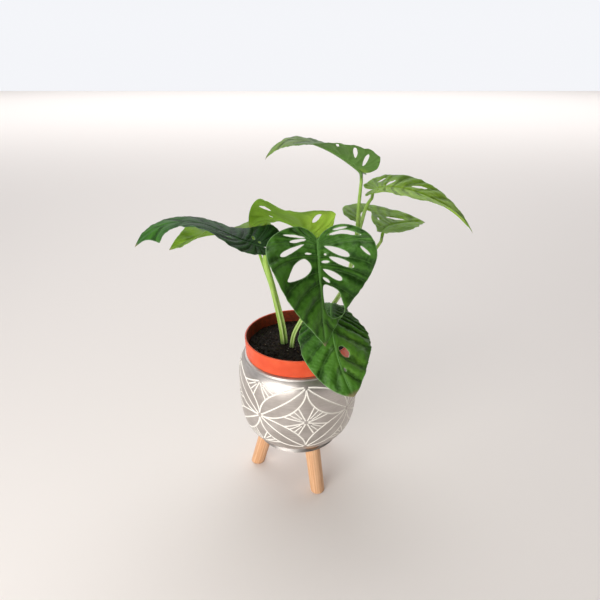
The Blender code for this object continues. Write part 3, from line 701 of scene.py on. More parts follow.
def bowl_radius(level):
    """Outer radius of the bowl at a level."""
    offset = np.asarray(level, float) - BOWL_WIDEST_LEVEL
    half = np.where(offset > 0, BOWL_RISE_ABOVE, BOWL_DEPTH_BELOW)
    share = np.clip(np.abs(offset) / half, 0.0, 1.0)
    return BOWL_RADIUS * (1 - share ** BOWL_FULLNESS) ** (1 / BOWL_FULLNESS)


def pattern_plane(points):
    """Turns pattern coordinates into millimetres on the unrolled side: across and up."""
    rise = np.where(points[:, 1] > 0, PATTERN_RISE, PATTERN_FALL)
    return np.stack([points[:, 0] * HALF_REPEAT, PATTERN_CENTRE_LEVEL + points[:, 1] * rise], 1)


def pattern_lines():
    """The engraved lines of half a repeat: overlapping circles, their chords and fans of rays.

    Across runs from the star's centre at 0 to the next node at 1, and up from the lower nodes at -1 to
    the upper ones at 1. Circles of radius one stand round the star and round each corner of its square.
    """
    quarter = np.radians(np.linspace(0.0, 90.0, 60))
    arc = np.stack([np.sin(quarter), np.cos(quarter)], 1)
    chord = np.stack([np.linspace(0, 1, 40), 1 - np.linspace(0, 1, 40)], 1)
    lines = []
    for up in (1, -1):
        for curve in (arc, chord, 1 - arc[::-1]):
            line = trimmed(pattern_plane(curve * (1, up)), 3.2, 3.2)
            lines.append((line, MAIN_LINE_WIDTH, MAIN_LINE_DEPTH))
        for centre, way in (((0.0, 0.0), (1, up)), ((1.0, float(up)), (-1, -up))):
            for share in (0.0, 0.33, 0.66, 1.0):
                angle = math.radians(33.0 + 24.0 * share)
                end = np.array((1 - math.sin(angle), 1 - math.cos(angle))) * way + centre
                start, width = 7.5, FAN_LINE_WIDTH
                if share in (0.0, 1.0):
                    start, width = 3.0, MAIN_LINE_WIDTH * 0.9
                line = trimmed(pattern_plane(np.linspace(centre, end, 20)), start, 0.0)
                lines.append((line, width, FAN_LINE_DEPTH))
    return lines


def engraved_sheet():
    """The unrolled side of half a repeat, split finely along the engraved lines."""
    width = HALF_REPEAT
    levels = np.linspace(PATTERN_LOW, PATTERN_HIGH, int(round((PATTERN_HIGH - PATTERN_LOW) / SHEET_STEP)) + 1)
    spots = np.linspace(0.0, width, int(round(width / SHEET_STEP)) + 1)
    border = [(spot, PATTERN_LOW) for spot in spots[:-1]]
    border += [(width, level) for level in levels[:-1]]
    border += [(spot, PATTERN_HIGH) for spot in spots[:0:-1]]
    border += [(0.0, level) for level in levels[:0:-1]]
    points = [np.array(border)]
    lines = pattern_lines()
    for line, line_width, _ in lines:
        line = resample(line, 0.9)
        ahead = np.gradient(line, axis=0)
        ahead /= np.linalg.norm(ahead, axis=1)[:, None]
        normal = np.stack([-ahead[:, 1], ahead[:, 0]], 1)
        for share in (-0.62, -0.5, -0.22, 0.0, 0.22, 0.5, 0.62):
            shifted = line + normal * (share * line_width)
            points.append(shifted[(shifted[:, 0] > 0.35) & (shifted[:, 0] < width - 0.35)])
    between = np.array([(spot + 0.5 * (row % 2) * SHEET_STEP, level)
                        for row, level in enumerate(levels[1:-1]) for spot in spots[1:-1]])
    starts = np.vstack([line[:-1] for line, _, _ in lines])
    ends = np.vstack([line[1:] for line, _, _ in lines])
    far = distance_to_lines(between, starts, ends)
    points.append(between[(far > MAIN_LINE_WIDTH * 0.85) & (between[:, 0] < width - 0.5)])
    flat, faces = split_plane(points, loop_edges(len(border)), 1, 1e-4)
    depth = np.zeros(len(flat))
    colour = np.zeros(len(flat))
    for line, line_width, line_depth in lines:
        far = distance_to_lines(flat, line[:-1], line[1:])
        share = np.clip(far / (line_width * 0.5), 0.0, 1.0)
        depth = np.maximum(depth, line_depth * (0.5 + 0.5 * np.cos(share * math.pi)))
        colour = np.maximum(colour, 1.0 - smooth_step(line_width * 0.40, line_width * 0.62, far))
    return flat, faces, depth, colour


def engraved_side():
    """The engraved side of the bowl, as one shape for each half repeat."""
    flat, sheet_faces, depth, colour = engraved_sheet()
    radius = bowl_radius(flat[:, 1])
    slope = (bowl_radius(flat[:, 1] + 0.05) - bowl_radius(flat[:, 1] - 0.05)) / 0.1
    normal_out = 1 / np.sqrt(1 + slope ** 2)
    normal_up = -slope * normal_out
    shapes = []
    for repeat in range(PATTERN_REPEATS):
        for mirror in (1, -1):
            turn = flat[:, 0] / BOWL_RADIUS * mirror + repeat * math.tau / PATTERN_REPEATS
            angle = turn + math.radians(PATTERN_FRONT) - math.pi / 2
            points = circle(radius - depth * normal_out, flat[:, 1] - depth * normal_up, angle)
            faces = [face[::mirror] for face in sheet_faces]
            shapes.append((points, faces, {"line_colour": colour}))
    return shapes


def build_bowl(material):
    """The bowl: engraved side, lip, inside, and base with the blind sockets of the legs."""
    shapes = engraved_side()
    steps = int(round(HALF_REPEAT / SHEET_STEP)) * 2 * PATTERN_REPEATS
    angles = ring_angles(steps) + math.radians(PATTERN_FRONT) - math.pi / 2
    inner_radius = BOWL_RADIUS - BOWL_WALL
    inner_depth = BOWL_WIDEST_LEVEL - BOWL_FLOOR_LEVEL
    inner_rise = BOWL_RISE_ABOVE - BOWL_WALL / 2
    top = [(float(bowl_radius(level)), level) for level in (PATTERN_HIGH, 165.0, 166.0)]
    top += [(62.2, 166.95), (60.6, 167.7), (59.2, 168.2), (BOWL_LIP_EDGE_RADIUS, BOWL_LIP_LEVEL)]
    top += [(57.3, BOWL_LIP_LEVEL), (56.6, 168.3), (56.15, 167.9), (BOWL_MOUTH_RADIUS, 167.3)]
    neck = angle_of_radius(inner_radius, BOWL_MOUTH_RADIUS)
    for angle in np.linspace(neck, -math.pi / 2, 26)[:-1]:
        top.append(superellipse(inner_radius, inner_depth, inner_rise, angle))
    top.append((12.0, BOWL_FLOOR_LEVEL))
    bottom = [(float(bowl_radius(level)), level) for level in (PATTERN_LOW, 69.0, 66.0, 63.5, 61.5, 60.0)]
    bottom += [(49.0, 58.9), (45.0, 58.4), (40.0, 58.1), (12.0, BOWL_BASE_LEVEL)]
    for profile, way in ((top, 1), (bottom, -1)):
        points = np.vstack([circle(radius, level, angles) for radius, level in profile])
        faces = grid_faces(len(profile), steps) + [tuple(range(len(points) - steps, len(points)))]
        shapes.append((points, [face[::way] for face in faces], {"line_colour": np.zeros(len(points))}))
    points, faces, attributes = join_shapes(shapes)
    bowl = new_piece("silver_bowl", points, faces, material, attributes)
    weld(bowl, 0.02)
    for index in range(len(LEG_NAMES)):
        ring = circle(LEG_TOP_RADIUS + SOCKET_GAP, 0.0, ring_angles(48))
        low = leg_point(index, BOWL_BASE_LEVEL - 4) + ring
        cut_hole(bowl, low, leg_point(index, LEG_TOP_LEVEL + SOCKET_GAP) + ring)
    stands_for(bowl, "cover_pot")


# The legs and the nursery pot

def leg_point(index, level):
    """The middle of a leg at a level."""
    angle = math.radians(LEG_FRONT_ANGLE + 360.0 * index / len(LEG_NAMES))
    share = level / LEG_TOP_LEVEL
    reach = LEG_FOOT_CIRCLE + (LEG_TOP_CIRCLE - LEG_FOOT_CIRCLE) * share
    return np.array((reach * math.cos(angle), reach * math.sin(angle), level))


def build_leg(name, index, material):
    """A turned dowel, splayed, with a flat sole and softly broken edges."""
    profile = [(0.0, LEG_FOOT_RADIUS * 0.5), (0.0, 2.2), (0.0, LEG_EDGE_ROUND), (0.35, 0.6), (0.75, 0.2),
               (LEG_EDGE_ROUND, 0.0)]
    profile += [(level, 0.0) for level in np.linspace(2.5, LEG_TOP_LEVEL - 1, 40)]
    profile += [(LEG_TOP_LEVEL, 0.9), (LEG_TOP_LEVEL, 4.0)]
    turn = ring_angles(LEG_SIDES)
    rings = []
    places = []
    end_grain = []
    for level, inset in profile:
        share = level / LEG_TOP_LEVEL
        radius = LEG_FOOT_RADIUS + (LEG_TOP_RADIUS - LEG_FOOT_RADIUS) * share - inset
        wave = 0.07 * np.sin(3 * turn + level * 0.05 + index) + 0.05 * np.sin(11 * turn + index * 2)
        flat = circle(radius - 0.12 + (wave if inset == 0.0 else 0.0), 0.0, turn)
        rings.append(leg_point(index, level) + flat)
        places.append(flat + np.array((index * 40.0, index * 23.0, level)))
        end_grain.append(np.full(len(turn), 1.0 if level < 0.5 else 0.0))
    attributes = {"grain_place": np.vstack(places), "end_grain": np.concatenate(end_grain)}
    faces = tube_faces(len(profile), len(turn))
    leg = new_piece(name + "_turned", np.vstack(rings), faces, material, attributes)
    stands_for(leg, name)


def pot_wall(level):
    """Outer radius of the nursery pot's wall at a level."""
    share = (level - POT_BASE_LEVEL) / (COLLAR_LEVEL - POT_BASE_LEVEL)
    return POT_BASE_RADIUS + (WALL_TOP_RADIUS - POT_BASE_RADIUS) * share


def build_nursery_pot(material):
    """The thin plastic pot with its collar, beaded rim, soft corners and drainage holes."""
    inner = [(6.0, POT_FLOOR_LEVEL), (38.0, POT_FLOOR_LEVEL), (pot_wall(86.0) - 2.2, 86.2)]
    inner += [(pot_wall(level) - WALL_THICKNESS, level) for level in (88.0, 110.0, 140.0, 160.0, 168.0)]
    inner += [(WALL_TOP_RADIUS - 1.2, 169.2), (56.2, 171.2), (57.2, 172.2)]
    inner += [(57.5, 176.0), (57.8, 182.0), (57.95, 186.6), (58.0, 188.2), (58.25, 188.75), (58.7, 189.0)]
    outer = [(59.3, 189.0), (59.75, 188.8), (59.98, 188.4), (60.0, 187.7), (59.86, 187.2), (59.8, 186.8)]
    outer += [(59.7, 180.0), (59.5, 173.0), (59.38, 170.0), (59.3, 169.3), (59.1, 168.9), (58.7, 168.8)]
    outer += [(55.9, 168.8), (55.3, 168.5)]
    outer += [(pot_wall(level), level) for level in (167.0, 150.0, 130.0, 110.0, 95.0, 86.0)]
    outer += [(POT_BASE_RADIUS - 0.4, 84.4), (POT_BASE_RADIUS - 1.3, 84.0), (6.0, 84.0)]
    points, faces = lathe(inner + outer, POT_SIDES)
    within = np.repeat([1.0] * (len(inner) - 2) + [0.35, 0.0] + [0.0] * len(outer), POT_SIDES)
    pot = new_piece("orange_pot", points, faces, material, {"inner_side": within})
    weld(pot, 0.001)
    for index in range(DRAIN_HOLES):
        angle = math.tau * (index + 0.5) / DRAIN_HOLES
        middle = (DRAIN_CIRCLE * math.cos(angle), DRAIN_CIRCLE * math.sin(angle), 0.0)
        ring = circle(DRAIN_RADIUS, POT_BASE_LEVEL - 3, ring_angles(32)) + middle
        cut_hole(pot, ring, ring + (0, 0, 8))
    stands_for(pot, "nursery_pot")


# The soil

def soil_level(points):
    """The uneven surface of the soil above each point, heaped a little round the stems."""
    out = np.linalg.norm(points, axis=1) / SOIL_RADIUS
    level = np.interp(out, (0.0, 0.45, 0.8, 1.0), (SOIL_HEAP_LEVEL, 177.64, 176.24, SOIL_EDGE_LEVEL)) - 0.9
    level = level + 0.9 * waves(points, 26.0, SEED) + 0.45 * waves(points, 8.0, SEED + 1)
    level = level + 0.22 * waves(points, 3.0, SEED + 2)
    for stem in STEMS:
        far = np.linalg.norm(points - np.array(stem.foot), axis=1)
        level = level + 0.9 * bump(far - stem.foot_radius, 4.0)
    return np.minimum(level, 181.0)


def soil_spot(picked, share, radius):
    """A random place within a share of the area of a circle."""
    out = math.sqrt(picked.uniform(0.0, share)) * radius
    turn = picked.uniform(0, math.tau)
    return np.array((out * math.cos(turn), out * math.sin(turn)))


def gap_to_stems(points):
    return min(np.linalg.norm(points - np.array(stem.foot), axis=1).min() - stem.foot_radius
               for stem in STEMS)


def ball_corners():
    """The twelve corners of a ball of twenty triangles."""
    golden = (1 + math.sqrt(5)) / 2
    corners = []
    for one in (-1, 1):
        for other in (-golden, golden):
            corners += [(0, one, other), (one, other, 0), (other, 0, one)]
    return np.array(corners, float)


def ball_faces():
    faces = []
    for face in combinations(range(12), 3):
        first, second, third = ball_corners()[list(face)]
        spans = [np.linalg.norm(one - other) for one, other in combinations((first, second, third), 2)]
        if max(spans) < 2.1:
            outward = np.cross(second - first, third - first) @ first > 0
            faces.append(face if outward else face[::-1])
    return faces


def crumb_corners(picked, size, flatness):
    """A rough lump: a small many-sided ball with its corners pushed in and out."""
    ball = ball_corners()
    ball /= np.linalg.norm(ball, axis=1)[:, None]
    ball *= picked.uniform(0.62, 1.2, (12, 1))
    turn, _ = np.linalg.qr(picked.normal(size=(3, 3)))
    return ball * np.array((1.0, picked.uniform(0.55, 1.0), flatness)) * size @ turn


def soil_crumbs(picked):
    """Loose lumps on the soil, of which some are brown and a few are pale specks."""
    triangles = ball_faces()
    shapes = []
    for index in range(CRUMBS):
        spot = soil_spot(picked, 0.985, SOIL_RADIUS - 0.8)[None]
        size = picked.gamma(3.2, 0.21) + 0.25
        if gap_to_stems(spot) < size * 0.4:
            continue
        pale = index % PALE_CRUMB_EVERY == 0
        brown = picked.uniform() < 0.22
        size = min(size, 0.75 if pale else 1.9)
        height = soil_level(spot)[0] + size * picked.uniform(0.0, 0.45)
        lump = crumb_corners(picked, size, picked.uniform(0.45, 0.9)) + np.array((*spot[0], height))
        tone = 1.0 if pale else (0.5 if brown else picked.uniform(0.0, 0.3))
        shapes.append((lump, triangles, {"tone": np.full(12, tone)}))
    return shapes


def soil_fibres(picked):
    """Thin bent fibres on the soil."""
    shares = np.linspace(-0.5, 0.5, 7)
    shapes = []
    for _ in range(FIBRES):
        spot = soil_spot(picked, 0.92, SOIL_RADIUS - 3)
        heading = picked.uniform(0, math.tau)
        length = picked.uniform(2.5, 8.0)
        bend = picked.uniform(-0.35, 0.35)
        path = spot + np.outer(shares, (math.cos(heading), math.sin(heading))) * length
        path = path + np.outer(shares ** 2 * bend, (-math.sin(heading), math.cos(heading))) * length
        if gap_to_stems(path) < 0.6:
            continue
        path = np.column_stack([path, soil_level(path) + 0.28 + picked.uniform(0, 0.25)])
        points, faces, _ = sweep(path, np.full(7, picked.uniform(0.10, 0.22)), 6, (0, 0, 1))
        shapes.append((points, faces, {"tone": np.full(len(points), 0.55)}))
    return shapes


def build_soil(material):
    """The filling of the nursery pot, with loose crumbs and fibres on its surface."""
    angles = ring_angles(SOIL_SIDES)
    profile = ((42.0, SOIL_UNDERSIDE_LEVEL), (53.3, 168.8), (57.0, 172.0))
    side = np.vstack([circle(radius, level, angles) for radius, level in profile])
    radii = SOIL_RADIUS * np.linspace(1.0, 0.008, SOIL_RINGS)
    surface = np.vstack([circle(radius, 0.0, angles) for radius in radii])
    surface[:, 2] = soil_level(surface[:, :2])
    points = np.vstack([side, surface])
    faces = tube_faces(len(profile) + len(radii), len(angles))
    picked = np.random.default_rng(SEED)
    shapes = [(points, faces, {"tone": np.zeros(len(points))})]
    shapes += soil_crumbs(picked)
    shapes += soil_fibres(picked)
    points, faces, attributes = join_shapes(shapes)
    soil = new_piece("soil_and_crumbs", points, faces, material, attributes)
    stands_for(soil, "soil")


# The leaves


def slot(inner, outer, width, bulge=0.5, sides=44):
    """A hole from its inner to its outer end, widest at the bulge's share of its length."""
    start = np.array(inner, float)
    reach = np.array(outer, float) - start
    normal = np.array((-reach[1], reach[0])) / np.linalg.norm(reach)
    lean = math.log(0.5) / math.log(bulge)
    angle = np.arange(sides) * math.tau / sides
    share = ((1 - np.cos(angle)) / 2) ** (1 / lean)
    return start + np.outer(share, reach) + np.outer(np.sin(angle) * width / 2, normal)


def rounded(corners, parts=9):
    """A hole whose edge runs smoothly through its corners."""
    corners = np.array(corners, float)
    points = []
    for index in range(len(corners)):
        around = corners[[(index + shift) % len(corners) for shift in (-1, 0, 1, 2)]]
        points.append(smooth_values(around, (1 + np.arange(parts) / parts) / 3))
    return np.vstack(points)


@dataclass
class Leaf:
    """A heart-shaped blade bent along its midrib, with the same form as its solid.

    Widths, folds, lobes and swells are given for the left and the right half. Headings, pitches and
    rolls are stations along the midrib, and a fold runs from its first to its second angle.
    """

    name: str
    base: tuple
    length: float
    widths: tuple
    heading: tuple
    pitch: tuple
    roll: tuple
    left_fold: tuple
    right_fold: tuple
    lift: float
    curl: float = 0.0
    fullness: float = 1.0
    lobes: tuple = (1.0, 1.0)
    hook: float = 60.0
    holes: tuple = ()
    taper: tuple = TAPER_CURVE[2]
    swells: tuple = ((), ())
    laterals: int = 11
    quilt: float = 1.15
    ripple: float = 0.8
    grid: float = 1.0
    # Patches of painted light (amount above nought) and painted shade (below nought): place, span, amount
    painted_light_patches: tuple = ()

    def __post_init__(self):
        steps = 400
        ahead = self.direction((np.arange(steps) + 0.5) / steps) * (self.length / steps)
        self.midrib_points = np.vstack([self.base, self.base + np.cumsum(ahead, axis=0)])
        self.halves = (self.half_outline(0), self.half_outline(1))
        self.outline = np.vstack([self.halves[0], self.halves[1][-2:0:-1]])

    def direction(self, share):
        heading = np.radians(smooth_values(self.heading, share))
        pitch = np.radians(smooth_values(self.pitch, share))
        level = np.cos(pitch)
        return np.stack([level * np.cos(heading), level * np.sin(heading), np.sin(pitch)], 1)

    def frame(self, share):
        """Points on the midrib line, with the directions ahead, to the left and up from the blade."""
        share = np.atleast_1d(np.asarray(share, float))
        ahead = self.direction(share)
        heading = np.radians(smooth_values(self.heading, share))
        roll = np.radians(smooth_values(self.roll, share))[:, None]
        level_side = np.stack([-np.sin(heading), np.cos(heading), np.zeros(len(share))], 1)
        level_up = np.cross(ahead, level_side)
        side = np.cos(roll) * level_side + np.sin(roll) * level_up
        up = np.cos(roll) * level_up - np.sin(roll) * level_side
        # Behind the base the midrib line bends by the lift, which raises or lowers the rear lobes
        behind = np.maximum(-share, 0.0)[:, None] * self.length
        bend = math.radians(self.lift) / (LOBE_SPAN * self.length)
        turn = bend * behind
        point = between_points(self.midrib_points, share)
        point = point - ahead * (np.sin(turn) / bend) + up * ((1 - np.cos(turn)) / bend)
        return point, ahead, side, np.cos(turn) * up + np.sin(turn) * ahead

    def bent(self, flat):
        """The places of points of the flat blade, across to the left and along from the base."""
        across = flat[:, 0]
        share = flat[:, 1] / self.length
        point, _, side, up = self.frame(share)
        place = np.clip(share, 0.0, 1.0)
        left, right = (start + (end - start) * place for start, end in (self.left_fold, self.right_fold))
        fold = np.radians(np.where(across >= 0, left, right))
        reach = np.abs(across)
        bend = math.radians(self.curl) / CURL_SPAN
        if bend == 0:
            out = reach * np.cos(fold)
            rise = reach * np.sin(fold)
        else:
            out = (np.sin(fold + bend * reach) - np.sin(fold)) / bend
            rise = (np.cos(fold) - np.cos(fold + bend * reach)) / bend
        return point + side * (np.copysign(out, across))[:, None] + up * rise[:, None]

    def half_outline(self, half, parts=46):
        """The edge of one half, from the base round the rear lobe to the tip."""
        chain = [np.array(curve, float) for curve in (LOBE_CURVE, SHOULDER_CURVE, TAPER_CURVE)]
        shoulder_end = 1 + 0.3 * (self.fullness - 1)
        chain[0][1:, 1] *= self.lobes[half]
        chain[1][0, 1] *= self.lobes[half]
        chain[1][3, 0] *= shoulder_end
        chain[2][0, 0] *= shoulder_end
        chain[2][1, 0] *= self.fullness
        chain[2][2] = (self.taper[0] * self.fullness, self.taper[1])
        points = np.vstack([cubic(curve, np.arange(parts) / parts) for curve in chain] + [(0.0, 1.0)])
        for share, span, amount in self.swells[half]:
            points[:, 0] *= 1 + amount * bump(points[:, 1] - share, span)
        return points * (self.widths[half] * (1 - 2 * half), self.length)

    def covers(self, points):
        """Which flat points lie on the blade and in none of its holes."""
        kept = inside(points, self.outline)
        for hole in self.holes:
            kept &= ~inside(points, hole)
        return kept

    def joint_direction(self):
        _, ahead, _, up = self.frame(0.0)
        hook = math.radians(self.hook)
        return -ahead[0] * math.cos(hook) - up[0] * math.sin(hook)

    def joint_end(self, beyond=0.0):
        return self.base + self.joint_direction() * (JOINT_LENGTH + beyond)

    def vein_point(self, half, value):
        """Where lateral veins have got to, for rows of their place on the edge and share of their way."""
        place, reach = value.T
        root = np.stack([np.zeros(len(place)), self.length * (0.10 * place + 0.90 * place ** 4)], 1)
        run = between_points(self.halves[half], place) - root
        forward = smooth_step(0.2, 0.5, place)
        arch = 4 * reach * (1 - reach) * np.linalg.norm(run, axis=1)
        bow = np.stack([(1 - 2 * half) * 0.10 * (1 - forward) * arch, -0.075 * forward * arch], 1)
        return root + run * reach[:, None] + bow

    def vein_coordinates(self, half, flat):
        """The place and reach of the lateral vein through each point, and its spacing per unit place."""
        places, reaches = np.meshgrid(np.linspace(0.0, 1.0, 150), np.linspace(0.0, 1.0, 40))
        table = np.stack([places.ravel(), reaches.ravel()], 1)
        tree = kdtree.KDTree(len(table))
        for index, spot in enumerate(self.vein_point(half, table)):
            tree.insert((*spot, 0.0), index)
        tree.balance()
        value = table[[tree.find((*point, 0.0))[1] for point in flat]]
        step = 0.002
        for _ in range(5):
            by_place, by_reach = ((self.vein_point(half, value + way) - self.vein_point(half, value - way))
                                  / (2 * step) for way in np.array(((step, 0.0), (0.0, step))))
            area = crossed(by_place, by_reach)
            area = np.where(np.abs(area) < 1.0, np.copysign(1.0, area), area)
            miss = flat - self.vein_point(half, value)
            change = np.stack([crossed(miss, by_reach) / area, crossed(by_place, miss) / area], 1)
            value = np.clip(value + np.clip(change, -0.03, 0.03), 0.0, 1.0)
        spacing = np.abs(area) / np.maximum(np.linalg.norm(by_reach, axis=1), 1.0)
        return value[:, 0], value[:, 1], spacing

    def lateral_places(self, half):
        """Places of the lateral veins on the edge, moved aside so that they run between the holes."""
        picked = np.random.default_rng(SEED + half + int(self.length))
        gap = 0.90 / self.laterals
        reach = np.linspace(0.04, 0.96, 40)
        chosen = []
        for index in range(self.laterals):
            wanted = 0.06 + gap * (index + 0.5) + picked.uniform(-0.12, 0.12) * gap
            costs = []
            for shift in np.linspace(-0.46, 0.46, 19):
                place = wanted + shift * gap
                line = self.vein_point(half, np.column_stack([np.full(40, place), reach]))
                cut = sum(inside(line, hole).sum() for hole in self.holes)
                costs.append((cut + 2.5 * abs(shift), len(costs), place))
            chosen.append(min(costs)[2])
        return np.array(chosen)


LEAF_FRONT = Leaf(
    "leaf_front", base=(19, -38, 312), length=104, widths=(57, 52),
    heading=(-88, -79, -73, -69), pitch=(-50, -63, -73, -76), roll=(9, -9, -11, -4),
    left_fold=(2, -14), right_fold=(11, 11), curl=9, lift=19, fullness=0.92,
    hook=60, laterals=12, quilt=1.7, ripple=0.9, grid=0.85,
    painted_light_patches=(((34, 34), 20, -0.5), ((-12, 75), 16, 0.4), ((8, 85), 18, 0.35), ((-18, 22), 16, -0.45),
           ((-22, -8), 12, -0.3), ((-38, 20), 14, 0.35)),
    holes=(
        slot((-12, -3), (-33, -5.5), 2.6),
        slot((-11, -1), (-27, 2), 3.4),
        slot((-13, 4), (-38, 17), 4.8, bulge=0.62),
        slot((-6.5, 13.5), (-13, 13.5), 2),
        rounded(((-14, 18.5), (-8, 27), (-17, 35.5), (-36, 39), (-33, 33), (-25, 24))),
        slot((15, -9.5), (29, -11), 2.4),
        rounded(((9, -4.5), (26, -8.5), (42, -1.5), (34, -2), (25, -4.5))),
        slot((6, 6), (30, 17), 6.5, bulge=0.62),
        slot((10.5, 17), (35, 28), 6, bulge=0.55),
        slot((2.8, 21.5), (10.5, 21.5), 2.8),
        slot((4, 28.5), (24, 40.5), 6.2, bulge=0.6),
        slot((3.4, 36.5), (10.5, 42), 2.8),
        rounded(((3, 45), (12, 46), (20, 51.5), (23, 60), (26.5, 71), (23, 77), (11.5, 78), (4, 67))),
        slot((40.5, 9), (50, 17.5), 2.6),
        slot((5.5, 14), (8, 14.5), 2.2),
    ))

LEAF_LOWER = Leaf(
    "leaf_lower", base=(35, -27, 239), length=106, widths=(47, 39),
    heading=(-95, -85, -68, -45), pitch=(-6, -33, -44, -51), roll=(1, -2, 4, 13),
    left_fold=(-33, 10), right_fold=(-33, -12), curl=-16, lift=-12, fullness=1.12, lobes=(0.92, 0.92),
    hook=45, taper=(0.40, 0.93), laterals=11, quilt=2.1, ripple=1.8, grid=0.85,
    painted_light_patches=(((20, 45), 22, 0.75), ((14, 78), 22, 0.8), ((-25, 35), 16, -0.7), ((15, 12), 16, -0.6),
           ((-14, 62), 16, 0.3)),
    holes=(
        rounded(((3, 56), (8, 54.5), (13, 61), (12, 67), (6, 65))),
        slot((2.5, 77), (3.5, 81), 2),
    ))

LEAF_LEFT = Leaf(
    "leaf_left", base=(-34, -28, 302), length=146, widths=(37, 43),
    heading=(169, 162, 176, 208), pitch=(10, 19, -11, -45), roll=(-17, 9, -6, -33),
    left_fold=(25, -12), right_fold=(3, -12), curl=-6, lift=31, fullness=1.01, lobes=(0.7, 0.6),
    hook=72, laterals=13, quilt=0.9,
    painted_light_patches=(((10, 118), 26, 0.9), ((-10, 112), 24, 0.7), ((5, 12), 40, -1.0)),
    swells=(((0.60, 0.08, -0.35), (0.80, 0.07, 0.8), (0.94, 0.05, -0.4)), ()),
    holes=(
        slot((-8, 12), (-15, 17), 2.8),
        slot((-4, 4), (-7.5, 7.5), 2.2),
        slot((8, 30), (16, 38), 3),
    ))

LEAF_FAR_LEFT = Leaf(
    "leaf_far_left", base=(-48, 53, 282), length=106, widths=(36, 46),
    heading=(170, 178, 184, 185), pitch=(17, 2, -17, -29), roll=(-4, 25, 7, -19),
    left_fold=(2, 4), right_fold=(16, 30), curl=4, lift=24, fullness=1.09, lobes=(0.98, 0.98),
    hook=68, swells=((), ((0.40, 0.20, -0.5), (0.72, 0.10, 0.15))),
    holes=(
        slot((14, 44), (24, 53), 4.5),
        slot((-8, 24), (-26, 34), 4),
    ))

LEAF_BACK = Leaf(
    "leaf_back", base=(21, 1, 301), length=88, widths=(45, 39),
    heading=(175, 159, 150, 160), pitch=(30, 19, -9, -45), roll=(30, 3, 21, 23),
    left_fold=(35, 30), right_fold=(15, -7), curl=0, lift=37, fullness=1.11, lobes=(0.88, 0.88),
    hook=42, laterals=10, painted_light_patches=(((24, -2), 20, 1.9), ((10, 62), 14, 0.5), ((-14, 30), 14, -0.5)),
    holes=(
        slot((16, 49), (20, 60), 4.4),
        slot((3, 52), (5.5, 56), 2),
        slot((21, 12.5), (39, 11), 4.2, bulge=0.55),
        slot((-9, 20), (-26, 28), 4.4, bulge=0.6),
    ))

LEAF_TOP = Leaf(
    "leaf_top", base=(64, 15, 367), length=112, widths=(37, 33),
    heading=(182, 175, 183, 184), pitch=(38, 26, 1, -62), roll=(25, 15, 4, 0),
    left_fold=(17, -25), right_fold=(16, -4), curl=11, lift=60, fullness=1.02, lobes=(0.69, 0.69),
    hook=55, painted_light_patches=(((0, 92), 28, 1.3), ((0, 62), 16, 0.5), ((0, -3), 7, 1.2)),
    holes=(
        slot((14.5, 15.5), (33, 22.5), 3.8),
        slot((9, 4), (29, 9.5), 3.8),
        slot((26, 34), (33, 36.5), 2.6),
        slot((-9, 12), (-24, 20), 4),
    ))

LEAF_RIGHT = Leaf(
    "leaf_right", base=(78, 20, 348), length=118, widths=(27, 30),
    heading=(-26, -19, -9, -6), pitch=(16, -12, -30, -52), roll=(11, 5, 2, 2),
    left_fold=(5, 22), right_fold=(2, 14), curl=6, lift=17, fullness=1.08, lobes=(0.86, 0.3),
    hook=66, painted_light_patches=(((-12, 40), 26, 1.5), ((-4, 80), 24, 1.3), ((-6, 8), 14, 0.9), ((14, 25), 12, -0.2)),
    swells=(((-0.02, 0.09, 0.2),), ((0.12, 0.14, -0.5), (0.42, 0.16, 0.2))),
    holes=(
        slot((14, 1), (21, 8), 3.4),
        slot((6, 12), (15, 20), 3.4),
        slot((8, 38), (15, 54), 3.8),
    ))

LEAF_MID_RIGHT = Leaf(
    "leaf_mid_right", base=(91, 20, 302), length=76, widths=(51, 34),
    heading=(69, 45, 29, 26), pitch=(6, -2, -4, -10), roll=(2, 0, -4, 4),
    left_fold=(17, 21), right_fold=(14, 0), curl=0, lift=32, fullness=0.99, lobes=(0.92, 0.92),
    hook=60, laterals=10, swells=(((0.16, 0.12, 0.07),), ()),
    painted_light_patches=(((4, 28), 10, -1.0), ((26, -6), 15, -1.0), ((-26, 8), 14, -0.6), ((0, 66), 14, 0.5)),
    holes=(
        slot((16, 32), (6, 50), 5),
        slot((19, 23), (14, 20), 2.2),
        rounded(((6, -16), (20, -14), (26, 4), (34, 14), (36, 22), (30, 24), (20, 14), (8, 3))),
    ))


def flat_blade(leaf):
    """The flat blade split finely: its points, its faces and how far each point is from an edge."""
    loops = [leaf.outline, *leaf.holes]
    starts = np.vstack([np.roll(loop, 1, axis=0) for loop in loops])
    ends = np.vstack(loops)
    edges = []
    for loop in loops:
        edges += loop_edges(len(loop), len(edges))
    step = leaf.grid
    chosen = []
    for across in (0.0, 0.5, -0.5, 1.05, -1.05, 1.75, -1.75, 2.6, -2.6):
        along = np.arange(0.0, leaf.length, step)
        chosen.append(np.stack([np.full(len(along), across), along], 1))
    low = leaf.outline.min(0)
    high = leaf.outline.max(0)
    for row in range(int((high[1] - low[1]) / (step * TRIANGLE_HEIGHT)) + 1):
        across = np.arange(low[0], high[0], step) + 0.5 * (row % 2) * step
        across = across[np.abs(across) > 2.6 + step * 0.6]
        chosen.append(np.stack([across, np.full(len(across), low[1] + row * step * TRIANGLE_HEIGHT)], 1))
    chosen = np.vstack(chosen)
    chosen = chosen[leaf.covers(chosen)]
    chosen = chosen[distance_to_lines(chosen, starts, ends) > step * 0.45]
    corners, faces = split_plane([*loops, chosen], edges, 0, 1e-5)
    faces = np.array(faces)
    faces = faces[leaf.covers(corners[faces].mean(1))]
    used = np.unique(faces)
    corners = corners[used]
    return corners, np.searchsorted(used, faces), distance_to_lines(corners, starts, ends)


